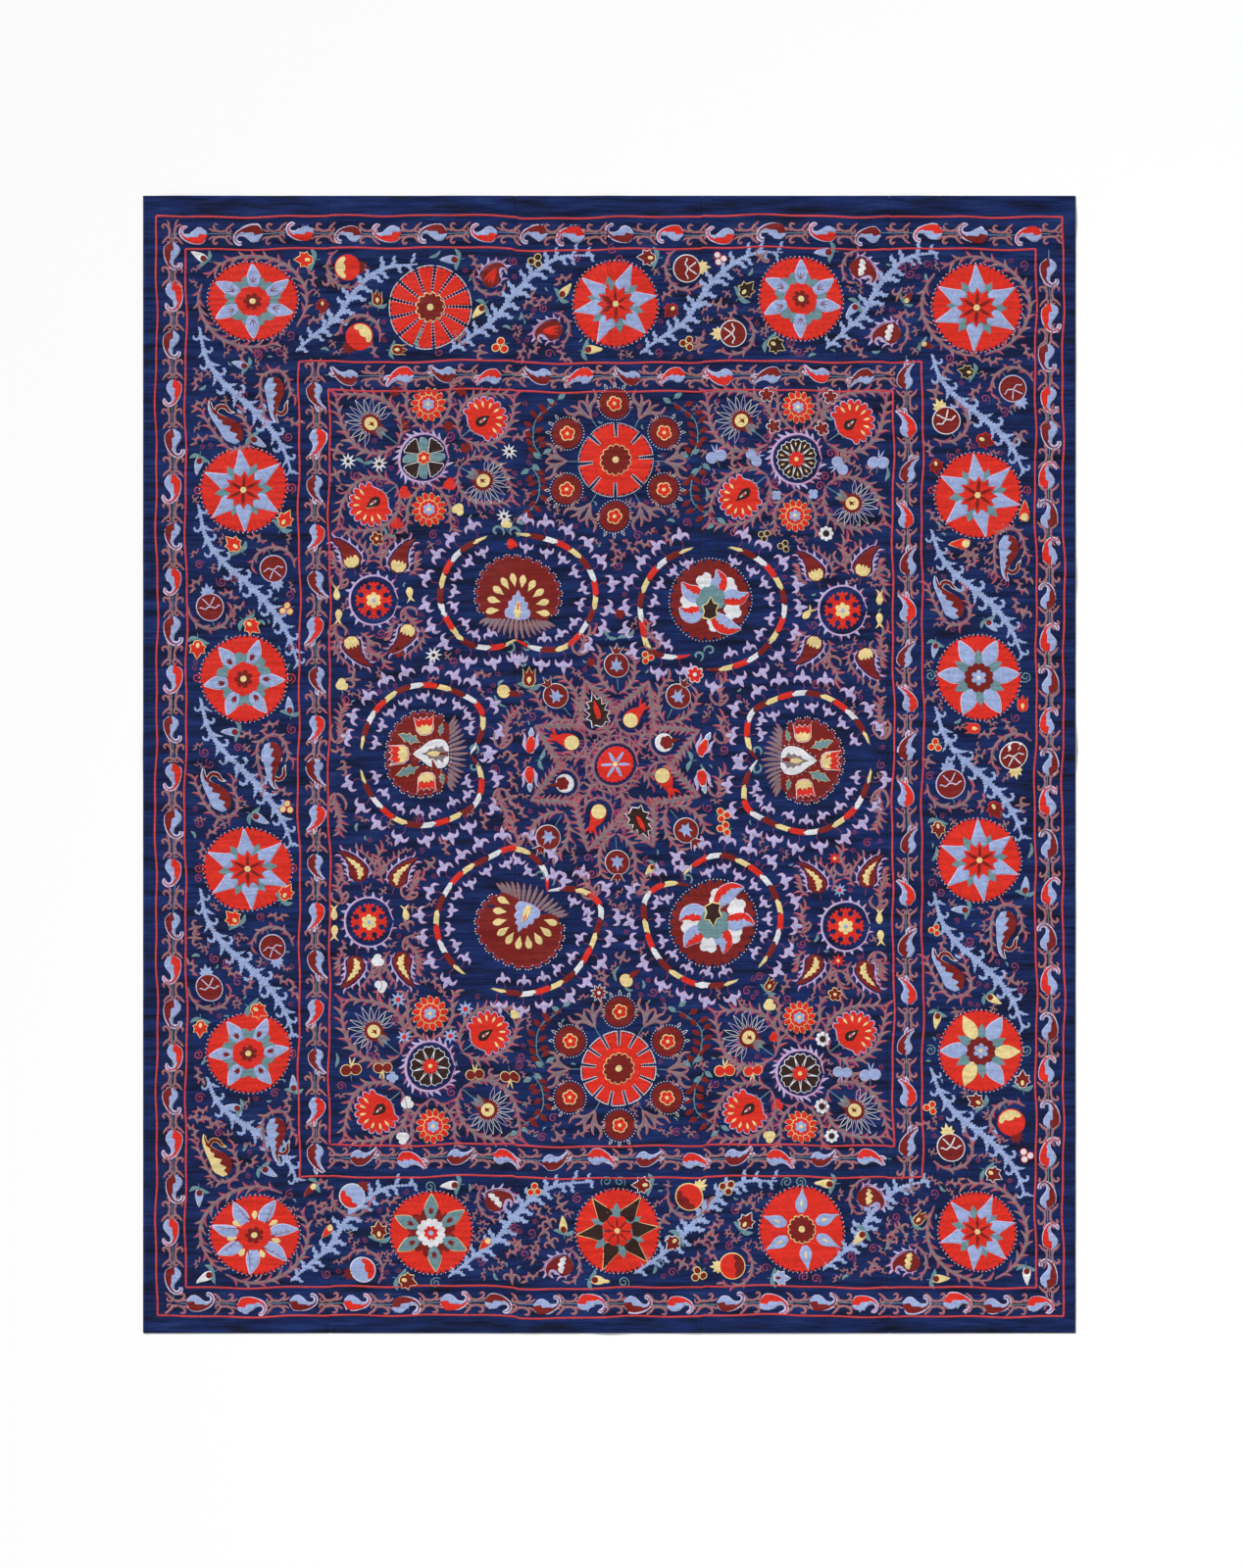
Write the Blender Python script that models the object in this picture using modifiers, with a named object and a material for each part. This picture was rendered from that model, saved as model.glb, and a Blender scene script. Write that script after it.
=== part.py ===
# A suzani: five narrow loom widths sewn edge to edge, embroidered, and laid flat.
# Metres, +Z up. The origin is the middle of the underside, +Y runs to the top edge.

import math

import bpy
import bmesh

# Driving dimensions of the whole cloth
CLOTH_WIDTH = 2.00
CLOTH_LENGTH = 2.44
CLOTH_THICKNESS = 0.0015
PANEL_COUNT = 5
SEAM_GAP = 0.0003

# The mesh of one panel: cells across and along it
CELLS_ACROSS = 12
CELLS_ALONG = 64

# The soft folds and creases that the cloth lies in. Each is a straight ridge.
FOLD_COLUMNS = ("start_x", "start_y", "end_x", "end_y", "height", "half_width")
FOLDS = (
    # pressed in where the cloth was folded for storage, across and along
    (-1.00, 0.020, -0.10, 0.000, 0.0026, 0.065),
    (-0.10, 0.000, 1.00, 0.036, 0.0024, 0.065),
    (-0.004, 1.22, -0.012, 0.10, 0.0022, 0.060),
    (-0.006, -0.10, -0.002, -1.22, 0.0018, 0.060),
    # slanting ripples in the plain margin at the top
    (-0.93, 1.21, -0.62, 1.14, 0.0034, 0.060),
    (-0.34, 1.20, -0.04, 1.15, 0.0030, 0.055),
    (0.33, 1.13, 0.66, 1.20, 0.0034, 0.060),
    (0.62, 1.10, 0.98, 1.17, 0.0028, 0.055),
    # long ripples near the bottom edge
    (-0.56, -1.165, -0.08, -1.185, 0.0026, 0.050),
    (0.18, -1.190, 0.74, -1.170, 0.0024, 0.050),
    # puckers between the ring medallions, drawn up by the dense stitching
    (-0.40, 0.305, -0.18, 0.290, 0.0024, 0.055),
    (0.20, 0.300, 0.42, 0.270, 0.0026, 0.055),
    (-0.42, -0.335, -0.16, -0.350, 0.0022, 0.055),
    (0.16, -0.360, 0.40, -0.340, 0.0022, 0.055),
    (-0.97, 0.46, -0.86, 0.40, 0.0024, 0.060),
    (0.88, 0.52, 0.98, 0.40, 0.0022, 0.060),
)

# The plain navy ground between the stitching
GROUND_COLOUR = (0.012, 0.026, 0.105, 1.0)
GROUND_ROUGHNESS = 0.62


def fold_height(x, y):
    """Height of the cloth at a point: the highest of the folds there, and zero between them."""
    highest = 0.0
    for row in FOLDS:
        fold = dict(zip(FOLD_COLUMNS, row))
        run_x = fold["end_x"] - fold["start_x"]
        run_y = fold["end_y"] - fold["start_y"]
        run = math.hypot(run_x, run_y)
        off_x = x - fold["start_x"]
        off_y = y - fold["start_y"]
        along = (off_x * run_x + off_y * run_y) / run
        beyond = max(0.0, -along, along - run)
        aside = (off_x * run_y - off_y * run_x) / run
        distance = math.hypot(aside, beyond) / fold["half_width"]
        if distance < 1.0:
            bell = math.cos(0.5 * math.pi * distance) ** 2
            highest = max(highest, fold["height"] * bell)
    return highest


def ground_material():
    """Navy cotton with a slight sheen."""
    material = bpy.data.materials.new("navy_ground")
    material.use_nodes = True
    shader = material.node_tree.nodes["Principled BSDF"]
    shader.inputs["Base Color"].default_value = GROUND_COLOUR
    shader.inputs["Roughness"].default_value = GROUND_ROUGHNESS
    shader.inputs["Metallic"].default_value = 0.0
    return material


def make_panel(index, material, collection):
    """One loom width: a fine grid raised into the folds, then thickened upwards."""
    panel_pitch = CLOTH_WIDTH / PANEL_COUNT
    left = -CLOTH_WIDTH / 2 + index * panel_pitch
    right = left + panel_pitch
    if index > 0:
        left += SEAM_GAP / 2
    if index < PANEL_COUNT - 1:
        right -= SEAM_GAP / 2

    mesh = bpy.data.meshes.new(f"panel_{index + 1}")
    grid = bmesh.new()
    bmesh.ops.create_grid(grid, x_segments=CELLS_ACROSS, y_segments=CELLS_ALONG, size=0.5)
    for vertex in grid.verts:
        vertex.co.x = left + (vertex.co.x + 0.5) * (right - left)
        vertex.co.y = vertex.co.y * CLOTH_LENGTH
        vertex.co.z = fold_height(vertex.co.x, vertex.co.y)
    bmesh.ops.recalc_face_normals(grid, faces=grid.faces)
    if grid.faces[0].normal.z < 0:
        bmesh.ops.reverse_faces(grid, faces=grid.faces)
    grid.to_mesh(mesh)
    grid.free()
    mesh.materials.append(material)
    mesh.shade_smooth()
    mesh.set_sharp_from_angle(angle=math.radians(40))

    panel = bpy.data.objects.new(f"panel_{index + 1}", mesh)
    collection.objects.link(panel)
    thickness = panel.modifiers.new("cloth", "SOLIDIFY")
    thickness.thickness = CLOTH_THICKNESS
    thickness.offset = 1.0
    return panel


def make_suzani():
    """The five panels, left to right, in a collection of their own."""
    collection = bpy.data.collections.new("suzani")
    bpy.context.scene.collection.children.link(collection)
    material = ground_material()
    for index in range(PANEL_COUNT):
        make_panel(index, material, collection)


for old in list(bpy.data.objects):
    bpy.data.objects.remove(old)
make_suzani()
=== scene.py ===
import bmesh
import bpy
import numpy as np
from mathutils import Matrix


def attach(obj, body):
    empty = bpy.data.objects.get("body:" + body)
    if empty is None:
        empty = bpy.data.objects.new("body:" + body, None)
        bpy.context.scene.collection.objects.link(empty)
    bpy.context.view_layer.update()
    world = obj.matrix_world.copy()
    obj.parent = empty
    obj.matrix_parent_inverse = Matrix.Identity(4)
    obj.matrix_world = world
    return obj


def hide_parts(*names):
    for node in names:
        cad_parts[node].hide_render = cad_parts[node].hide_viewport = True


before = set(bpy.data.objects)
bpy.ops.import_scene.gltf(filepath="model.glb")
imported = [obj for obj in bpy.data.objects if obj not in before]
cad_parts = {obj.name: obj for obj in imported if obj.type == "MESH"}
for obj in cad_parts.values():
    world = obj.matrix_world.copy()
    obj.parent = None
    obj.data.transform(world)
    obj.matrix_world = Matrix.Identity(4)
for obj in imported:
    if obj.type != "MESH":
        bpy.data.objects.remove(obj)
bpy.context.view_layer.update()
print("frame loaded:", len(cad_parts), "cloth panels")

# The pattern is drawn in centimetres from the middle of the cloth, with +Y to the top edge.
cm = 0.01

# ---- the cloth: five loom widths in the folds that the textile was photographed in

cloth = {
    "width": 2,
    "length": 2.44,
    "thickness": 0.0015,
    "panels": 5,
    "seamGap": 0.0003,
    "cellsAcross": 38,
    "cellsAlong": 244,
    "seamSteps": (0, 0.0006, 0.0018, 0.0045),  # where the columns stand beside an edge
    "seamDip": 0.0009,    # how far the sewn edges sink between two panels
    "hemRise": 0.0005,    # the turned hem under the outer edges
    "hemWidth": 0.011,
    "hemSlope": 0.003,    # over which the cloth rises on to its hem
    "seamSlope": 0.0016,  # over which it sinks to a seam
    "rimWidth": 0.0012,   # the rounding of the outer edges
    "rimDrop": 0.0005,
    "sideInset": 0.01,    # the even columns and rows stop this far from the edges
    "endInset": 0.008,
}

# Broad soft folds: start x, y, end x, y in cm, height and half width in mm
foldUnits = (0.01, 0.01, 0.01, 0.01, 0.001, 0.001)
softFolds = np.array([
    (-100, 2, -10, 0, 2.6, 65),
    (-10, 0, 100, 3.6, 2.4, 65),
    (-0.4, 122, -1.2, 10, 2.2, 60),
    (-0.6, -10, -0.2, -122, 1.8, 60),
    (-93, 121, -62, 114, 3.4, 60),
    (-34, 120, -4, 115, 3, 55),
    (33, 113, 66, 120, 3.4, 60),
    (62, 110, 98, 117, 2.8, 55),
    (-56, -116.5, -8, -118.5, 2.6, 50),
    (18, -119, 74, -117, 2.4, 50),
    (-40, 30.5, -18, 29, 2.4, 55),
    (20, 30, 42, 27, 2.6, 55),
    (-42, -33.5, -16, -35, 2.2, 55),
    (16, -36, 40, -34, 2.2, 55),
    (-97, 46, -86, 40, 2.4, 60),
    (88, 52, 98, 40, 2.2, 60),
]) * foldUnits

# Narrow creases in the same way
fineCreases = np.array([
    (-99.5, 1.2, -62, 0.6, 1.2, 10),
    (-60, 0.4, -21, 0.1, 1, 9),
    (22, 1, 58, 2, 1.1, 9),
    (61, 2.6, 99.5, 3.6, 1.3, 10),
    (-0.6, 121.5, -0.4, 88, 1, 9),
    (-0.8, 50, -1, 28, 0.9, 8),
    (-0.4, -86, -0.2, -121.5, 0.9, 8),
    (-99.5, -121.5, -91.5, -115, 1.6, 8),
    (-96, 117.5, -71, 115.5, 1, 12),
    (-52, 120.5, -30, 118, 1.1, 12),
    (2, 116, 24, 120, 1, 12),
    (46, 120, 74, 116.5, 1.2, 12),
    (80, 116, 97, 119, 1, 11),
    (-80, -119, -50, -118, 0.9, 11),
    (5, -118, 40, -120, 1, 11),
    (55, -117.5, 90, -119, 0.9, 11),
    (96.5, 10, 98.5, -28, 0.9, 10),
    (96, -2, 99.8, 0, 1, 9),
    (-98.5, 20, -96.5, -10, 0.8, 10),
    (-99, -28, -95, -31, 0.9, 9),
    (-47, 34.5, -28, 33, 0.8, 9),
    (-40, 28.5, -26, 29.2, 0.8, 8),
    (-25, 27.5, -12, 26.2, 0.7, 8),
    (6, 30, 13, 28.5, 0.7, 8),
    (30, 27, 42, 26.2, 0.8, 9),
    (-30, -30, -12, -31.5, 0.8, 9),
    (14, -33, 30, -31.8, 0.8, 9),
    (33, -27.5, 52, -29, 0.8, 8),
    (-60, 56, -50, 55.2, 0.7, 9),
    (44, -90, 60, -90.5, 0.7, 9),
    # slanting ripples of the plain margins
    (-93, 118, -80, 121.5, 1.5, 13),
    (-68, 121.5, -52, 117.8, 1.6, 14),
    (-30, 121.2, -16, 118, 1.4, 12),
    (-10, 118, 2, 121.4, 1.5, 13),
    (20, 121.4, 36, 118, 1.5, 13),
    (40, 118.2, 50, 121.6, 1.3, 12),
    (72, 121.4, 84, 118, 1.5, 13),
    (90, 121.5, 98.5, 118.5, 1.4, 12),
    (-99, 110, -97.5, 70, 1.6, 12),
    (-98.5, 62, -99.2, 28, 1.4, 11),
    (-99, -40, -97.8, -80, 1.4, 12),
    (-98.4, -86, -99.2, -114, 1.3, 11),
    (98.5, 112, 99.2, 80, 1.4, 11),
    (98.2, 70, 99, 36, 1.3, 12),
    (99, -36, 98.2, -72, 1.4, 12),
    (98.4, -80, 99.2, -112, 1.3, 11),
    (-90, -120, -66, -121, 1.4, 11),
    (-44, -119.8, -16, -121.2, 1.3, 11),
    (12, -121, 42, -119.6, 1.4, 11),
    (58, -120.5, 86, -121.2, 1.3, 11),
]) * foldUnits


def ridges(x, y, rows, power):
    # Highest of the rows at each point: height * cos(half pi * distance / half width) ^ power
    highest = np.zeros_like(x)
    for x1, y1, x2, y2, height, halfWidth in rows:
        runX, runY = x2 - x1, y2 - y1
        run = np.hypot(runX, runY)
        along = ((x - x1) * runX + (y - y1) * runY) / run
        aside = ((x - x1) * runY - (y - y1) * runX) / run
        beyond = np.maximum(0, np.maximum(-along, along - run))
        distance = np.minimum(np.hypot(aside, beyond) / halfWidth, 1)
        highest = np.maximum(highest, height * np.cos(0.5 * np.pi * distance) ** power)
    return highest


def ripple(x, y):
    # Three crossed sine waves, lifted so that their lowest point is zero
    wave = np.sin(31 * y + 5 * x + 1.3 * np.sin(7 * x)) + 0.6 * np.sin(53 * y - 9 * x + 2)
    wave = wave + 0.5 * np.sin(23 * x + 11 * y)
    return 0.00016 * (wave + 2.1)


def clothHeight(x, y):
    # Underside of the cloth over the floor, in metres
    return ridges(x, y, softFolds, 2) + ridges(x, y, fineCreases, 2) + ripple(x, y)


def panelColumns(index):
    # Column positions across one panel: close together at both edges, even between them
    pitch = cloth["width"] / cloth["panels"]
    left = -cloth["width"] / 2 + index * pitch
    right = left + pitch
    if index > 0:
        left += cloth["seamGap"] / 2
    if index < cloth["panels"] - 1:
        right -= cloth["seamGap"] / 2
    steps = np.array(cloth["seamSteps"])
    middle = np.linspace(left + cloth["sideInset"], right - cloth["sideInset"], cloth["cellsAcross"])
    return np.concatenate([left + steps, middle, right - steps[::-1]])


def topLift(x, y):
    # Height of the face over the underside: the thickness, less the dip at seams, plus the hem
    pitch = cloth["width"] / cloth["panels"]
    toSeam = np.abs((x / pitch + 0.5) - np.round(x / pitch + 0.5)) * pitch
    inner = np.abs(x) < cloth["width"] / 2 - pitch / 2
    dip = np.where(inner, cloth["seamDip"] * np.exp(-toSeam / cloth["seamSlope"]), 0)
    edge = np.minimum(cloth["width"] / 2 - np.abs(x), cloth["length"] / 2 - np.abs(y))
    hem = np.clip((cloth["hemWidth"] - edge) / cloth["hemSlope"], 0, 1) * np.clip(edge / 0.002, 0, 1)
    edgeRound = np.where(edge < cloth["rimWidth"], cloth["rimDrop"] * (1 - edge / cloth["rimWidth"]), 0)
    return cloth["thickness"] - dip + cloth["hemRise"] * hem - edgeRound


def makePanel(index, material):
    # Closed sheet: a grid for the face, the same grid for the underside and a strip round the rim
    xs = panelColumns(index)
    half = cloth["length"] / 2
    ys = np.linspace(-half + cloth["endInset"], half - cloth["endInset"], cloth["cellsAlong"])
    rim = np.array([0, cloth["rimWidth"], cloth["hemSlope"]])
    ys = np.concatenate([rim - half, ys, half - rim[::-1]])
    x, y = np.meshgrid(xs, ys)
    low = clothHeight(x, y)
    top = low + topLift(x, y)
    rows, cols = x.shape
    points = np.concatenate([np.stack([x, y, z], -1).reshape(-1, 3) for z in (top, low)])
    cell = (np.arange(rows - 1)[:, None] * cols + np.arange(cols - 1)[None]).reshape(-1)
    face = np.stack([cell, cell + 1, cell + cols + 1, cell + cols], 1)
    under = face[:, ::-1] + rows * cols
    ring = np.concatenate([
        np.arange(cols),
        cols * np.arange(2, rows + 1) - 1,
        (rows - 1) * cols + np.arange(cols - 2, -1, -1),
        cols * np.arange(rows - 2, 0, -1),
    ])
    after = np.roll(ring, -1)
    strip = np.stack([ring + rows * cols, after + rows * cols, after, ring], 1)
    quads = np.concatenate([face, under, strip])
    return meshObject("cloth_panel_%d" % (index + 1), points, quads, None, material)


weld = 0.000008      # metres, points closer than this become one
sharpEdge = 24       # degrees, edges that bend more stay sharp


def meshObject(name, points, quads, uv, material):
    # Object at the origin from arrays of points, quads and, for each corner, a place on the thread
    mesh = bpy.data.meshes.new(name)
    mesh.from_pydata(points.tolist(), [], quads.tolist())
    if uv is not None:
        layer = mesh.uv_layers.new(name="Stitches")
        layer.data.foreach_set("uv", uv.reshape(-1).astype(np.float32))
    tidy = bmesh.new()
    tidy.from_mesh(mesh)
    bmesh.ops.remove_doubles(tidy, verts=tidy.verts, dist=weld)
    tidy.to_mesh(mesh)
    tidy.free()
    mesh.shade_smooth()
    mesh.set_sharp_from_angle(angle=np.radians(sharpEdge))
    mesh.materials.append(material)
    made = bpy.data.objects.new(name, mesh)
    bpy.context.scene.collection.objects.link(made)
    return made


# ---- thread colours, as the eye sees them in daylight

threads = {
    "scarlet": {"colour": (228, 43, 27), "slot": "scarlet_thread"},
    "maroon": {"colour": (126, 25, 21), "slot": "maroon_thread"},
    "sky": {"colour": (162, 180, 226), "slot": "sky_thread"},
    "lilac": {"colour": (198, 182, 226), "slot": "lilac_thread"},
    "pale": {"colour": (214, 206, 238), "slot": "lilac_thread"},
    "sage": {"colour": (112, 148, 156), "slot": "sage_thread"},
    "taupe": {"colour": (136, 119, 126), "slot": "taupe_thread"},
    "salmon": {"colour": (198, 108, 106), "slot": "coral_thread"},
    "coral": {"colour": (208, 66, 72), "slot": "coral_thread"},
    "rose": {"colour": (156, 62, 98), "slot": "coral_thread"},
    "cream": {"colour": (246, 220, 154), "slot": "cream_thread"},
    "white": {"colour": (236, 236, 242), "slot": "white_thread"},
    "dark": {"colour": (50, 26, 22), "slot": "dark_thread"},
}
threadOrder = list(threads)

stitch = {
    "row": 0.19,      # cm between rows of chain stitch
    "length": 0.36,   # cm of one stitch
    "wall": 0.07,     # cm over which a filled shape rises at its edge
    "sunk": -0.006,   # cm, the edge of the lowest layer, inside the cloth
    "raised": 0.04,   # cm, the top of the lowest layer
    "layer": 0.025,   # cm from one layer of thread to the next
    "order": 0.0012,  # cm between two colours of one layer
}


def paint(colour):
    # Display colour in 0 to 255 to the linear values of a shader
    value = np.array(colour) / 255
    linear = np.where(value <= 0.04045, value / 12.92, ((value + 0.055) / 1.055) ** 2.4)
    return (*linear.tolist(), 1)


# ---- drawing with thread: a patch is a colour and a grid of (x, y, height, along, across) in cm

def patch(colour, layer, xy, rims=(True, True, True, True)):
    # Grid of points; marked rims lie low, all the rest stands at the height of the layer
    height = np.full(xy.shape[:2], stitch["raised"] + (layer - 1) * stitch["layer"])
    height += threadOrder.index(colour) * stitch["order"]
    low = stitch["sunk"] + (layer - 1) * stitch["layer"]
    firstRow, lastRow, firstCol, lastCol = rims
    if firstRow:
        height[0] = low
    if lastRow:
        height[-1] = low
    if firstCol:
        height[:, 0] = low
    if lastCol:
        height[:, -1] = low
    middle = xy[:, xy.shape[1] // 2]
    along = np.concatenate([[0], np.cumsum(np.linalg.norm(np.diff(middle, axis=0), axis=1))])
    acrossStep = np.linalg.norm(np.diff(xy, axis=1), axis=2)
    across = np.concatenate([np.zeros((len(xy), 1)), np.cumsum(acrossStep, axis=1)], axis=1)
    along = np.broadcast_to(along[:, None], across.shape)
    return [(colour, np.concatenate([xy, np.stack([height, along, across], -1)], -1))]


def polar(radius, angle, radiusY=None):
    # Points at the angles: radius * (cos, sin), with a radius of its own upwards for an ellipse
    return np.stack([radius * np.cos(angle), (radius if radiusY is None else radiusY) * np.sin(angle)], 1)


def bothSides(half):
    # Outline from its right half: the same points turned round, at -x
    return half + [(-x, y) for x, y in half[::-1] if x]


def smoothLine(knots, count):
    # Catmull-Rom curve: on each span the cubic whose slopes are half the chord between neighbours
    p = np.asarray(knots, float)
    p = np.vstack([2 * p[0] - p[1], p, 2 * p[-1] - p[-2]])
    t = np.linspace(0, len(p) - 3, count)
    i = np.minimum(t.astype(int), len(p) - 4)
    f = (t - i)[:, None]
    a, b, c, d = p[i], p[i + 1], p[i + 2], p[i + 3]
    bend = (2 * a - 5 * b + 4 * c - d) * f ** 2 + (3 * b - a - 3 * c + d) * f ** 3
    return 0.5 * (2 * b + (c - a) * f + bend)


def widthsAlong(halfWidths, count):
    # Half widths spread evenly along a line, eased between the given ones
    values = np.atleast_1d(np.asarray(halfWidths, float))
    if len(values) == 1:
        return np.full(count, values[0])
    return np.maximum(smoothLine(np.stack([values, values], 1), count)[:, 0], 0.02)


def edges(knots, halfWidths, rows):
    # Line, its unit normals and half widths, so that either edge is line + side * width * normal
    line = smoothLine(knots, rows)
    step = np.gradient(line, axis=0)
    step = step / (np.linalg.norm(step, axis=1, keepdims=True) + 1e-9)
    return line, np.stack([-step[:, 1], step[:, 0]], 1), widthsAlong(halfWidths, rows)


def ribbon(colour, layer, knots, halfWidths, rows=8, cols=3):
    # Thread laid along a line: line point + side * half width * normal, side from -1 to 1
    line, normal, width = edges(knots, halfWidths, rows)
    if cols == 3:
        side = np.broadcast_to(np.array([-1, 0, 1]), (rows, 3))
    else:
        inner = np.clip(1 - stitch["wall"] / width, 0.4, 1)
        side = np.stack([-np.ones(rows), -inner, np.zeros(rows), inner, np.ones(rows)], 1)
    xy = line[:, None] + normal[:, None] * (side * width[:, None])[..., None]
    return patch(colour, layer, xy)


def edged(colour, edge, layer, knots, halfWidths, rows=8, cols=3, rim=0.15):
    # Ribbon on a wider one of the edging colour, which shows as its outline
    p = np.asarray(knots, float)
    start = p[0] - rim * (p[1] - p[0]) / np.linalg.norm(p[1] - p[0])
    end = p[-1] + rim * (p[-1] - p[-2]) / np.linalg.norm(p[-1] - p[-2])
    wide = np.vstack([start, p[1:-1], end]) if len(p) > 2 else np.vstack([start, end])
    under = ribbon(edge, layer, wide, np.atleast_1d(halfWidths) + rim, rows)
    return under + ribbon(colour, layer + 1, p, halfWidths, rows, cols)


def spread(colour, layer, edge, rings=None, centre=(0, 0)):
    # Patch from a middle point out to a closed edge: centre + ring * (edge - centre)
    edge = np.asarray(edge, float)
    middle = np.array(centre)
    reach = np.linalg.norm(edge - middle, axis=1)
    if rings is None:
        count = max(2, int(reach.mean() / 1.3))
        rings = np.arange(count) / count
    wall = np.clip(1 - stitch["wall"] / reach, 0.55, 0.99)
    fractions = np.concatenate([np.broadcast_to(rings, (len(edge), len(rings))), wall[:, None],
        np.ones((len(edge), 1))], 1)
    xy = middle + (edge - middle)[:, None] * fractions[..., None]
    return patch(colour, layer, xy, (False, False, False, True))


def scallops(radius, lobes=0, depth=0, rows=None, sharp=0.5, radiusY=None, start=0):
    # Closed edge: radius * (1 - depth + depth * |sin(lobes * angle / 2)| ^ sharp)
    count = rows or max(17, 4 * lobes + 1)
    angle = np.linspace(0, 2 * np.pi, count)
    ratio = np.ones(count)
    if lobes:
        ratio = 1 - depth + depth * np.abs(np.sin(lobes * angle / 2)) ** sharp
    angle = angle + np.radians(start)
    return np.stack([radius * ratio * np.cos(angle), (radiusY or radius) * ratio * np.sin(angle)], 1)


def disc(colour, layer, radius, lobes=0, depth=0, **more):
    return spread(colour, layer, scallops(radius, lobes, depth, **more))


def starEdge(tips, outer, inner, start=90, perSide=2):
    # Closed star: straight sides between tips at the outer and notches at the inner radius
    angle = np.radians(start) + np.pi * np.arange(2 * tips + 1) / tips
    radius = np.where(np.arange(2 * tips + 1) % 2 == 0, outer, inner)
    corners = polar(radius, angle)
    place = np.linspace(0, 2 * tips, 2 * tips * perSide + 1)
    spots = np.arange(2 * tips + 1)
    return np.stack([np.interp(place, spots, corners[:, 0]), np.interp(place, spots, corners[:, 1])], 1)


def star(colour, layer, tips, outer, inner, start=90, perSide=2):
    return spread(colour, layer, starEdge(tips, outer, inner, start, perSide), rings=(0,))


def between(colour, layer, edgeA, edgeB, closed=False):
    # Patch from one edge to another: edgeA + t * (edgeB - edgeA)
    a, b = np.asarray(edgeA, float), np.asarray(edgeB, float)
    width = np.linalg.norm(b - a, axis=1)
    wall = np.clip(stitch["wall"] / np.maximum(width, 1e-6), 0, 0.3)
    t = np.stack([np.zeros(len(a)), wall, np.full(len(a), 0.5), 1 - wall, np.ones(len(a))], 1)
    xy = a[:, None] + (b - a)[:, None] * t[..., None]
    return patch(colour, layer, xy, (not closed, not closed, True, True))


def beads(colour, layer, points, radius):
    # Small knots: each a six sided dome
    ring = scallops(radius, rows=7)
    made = []
    for point in np.asarray(points, float):
        xy = np.stack([np.broadcast_to(point, ring.shape), point + ring], 1)
        made += patch(colour, layer, xy, (False, False, False, True))
    return made


def moved(motif, x=0, y=0, turn=0, size=1, mirror=1, squash=1):
    # Copy of the patches: scaled, mirrored in x, squashed in y, turned about the origin and moved
    c, s = np.cos(np.radians(turn)), np.sin(np.radians(turn))
    made = []
    for colour, points in motif:
        new = points.copy()
        px, py = points[..., 0] * size * mirror, points[..., 1] * size * squash
        new[..., 0] = c * px - s * py + x
        new[..., 1] = s * px + c * py + y
        made.append((colour, new))
    return made


def paired(motif):
    # The motif and its mirror image
    return motif + moved(motif, mirror=-1)


def around(motif, count, radius=0, start=0):
    # Copies at even angles clockwise from the top, each moved out by the radius
    made = []
    for k in range(count):
        turn = start - 360 * k / count
        spot = np.radians(turn + 90)
        made += moved(motif, radius * np.cos(spot), radius * np.sin(spot), turn)
    return made


def recolour(motif, swaps):
    # Same patches in other threads
    return [(swaps.get(colour, colour), points) for colour, points in motif]


stitched = {name: [] for name in threads}


def stitchOn(motif, x=0, y=0, turn=0, size=1, mirror=1, squash=1):
    # Works a motif into the cloth
    for colour, points in moved(motif, x, y, turn, size, mirror, squash):
        stitched[colour].append(points)


wobble = {
    "slow": 0.16,  # cm, two waves by which the drawn lines drift
    "quick": 0.1,
    "panelSteps": (0, 0.14, -0.1, 0.12, -0.06),  # cm by which the drawing is off along each panel
    "panelWidth": 40,
}


def handWobble(xy):
    # Slow and quick sine waves across the drawing, and a small step at every sewing line
    x, y = xy[..., 0], xy[..., 1]
    steps = np.array(wobble["panelSteps"])
    left = len(steps) * wobble["panelWidth"] / 2
    panel = np.clip(((x + left) // wobble["panelWidth"]).astype(int), 0, len(steps) - 1)
    dx = wobble["slow"] * np.sin(0.21 * y + 0.6 * np.sin(0.05 * x))
    dx = dx + wobble["quick"] * np.sin(0.47 * y + 0.13 * x)
    dy = wobble["slow"] * np.sin(0.19 * x + 1) + wobble["quick"] * np.sin(0.43 * x + 0.11 * y)
    dy = dy + steps[panel]
    return np.stack([x + dx, y + dy], -1)


# ---- small motifs

def leaf(colour, layer, length, halfWidth, bend=0, edge=None, rows=7, rim=0.13):
    # Pointed leaf up the y axis, its middle pushed aside by the bend
    knots = [(0, 0), (bend, length * 0.5), (0, length)]
    widths = np.array([0.25, 0.85, 1, 0.7, 0.08]) * halfWidth
    if edge:
        return edged(colour, edge, layer, knots, widths, rows, 5 if halfWidth > 0.5 else 3, rim)
    return ribbon(colour, layer, knots, widths, rows, 5 if halfWidth > 0.5 else 3)


def drop(colour, layer, length, halfWidth, edge=None, rows=8, rim=0.13):
    # Drop with its round end up the y axis and its point at the origin
    widths = np.array([0.06, 0.35, 0.75, 1, 0.85, 0.3]) * halfWidth
    if edge:
        return edged(colour, edge, layer, [(0, 0), (0, length)], widths, rows, 5, rim)
    return ribbon(colour, layer, [(0, 0), (0, length)], widths, rows, 5 if halfWidth > 0.5 else 3)


def stalk(x1, y1, x2, y2, halfWidth=0.09):
    # Straight sage stalk
    return ribbon("sage", 1, [(x1, y1), (x2, y2)], halfWidth, 5)


def stroke(knots, halfWidths, rows, rim):
    # Taupe stroke edged in salmon
    return edged("taupe", "salmon", 1, knots, halfWidths, rows, 3, rim)


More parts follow.
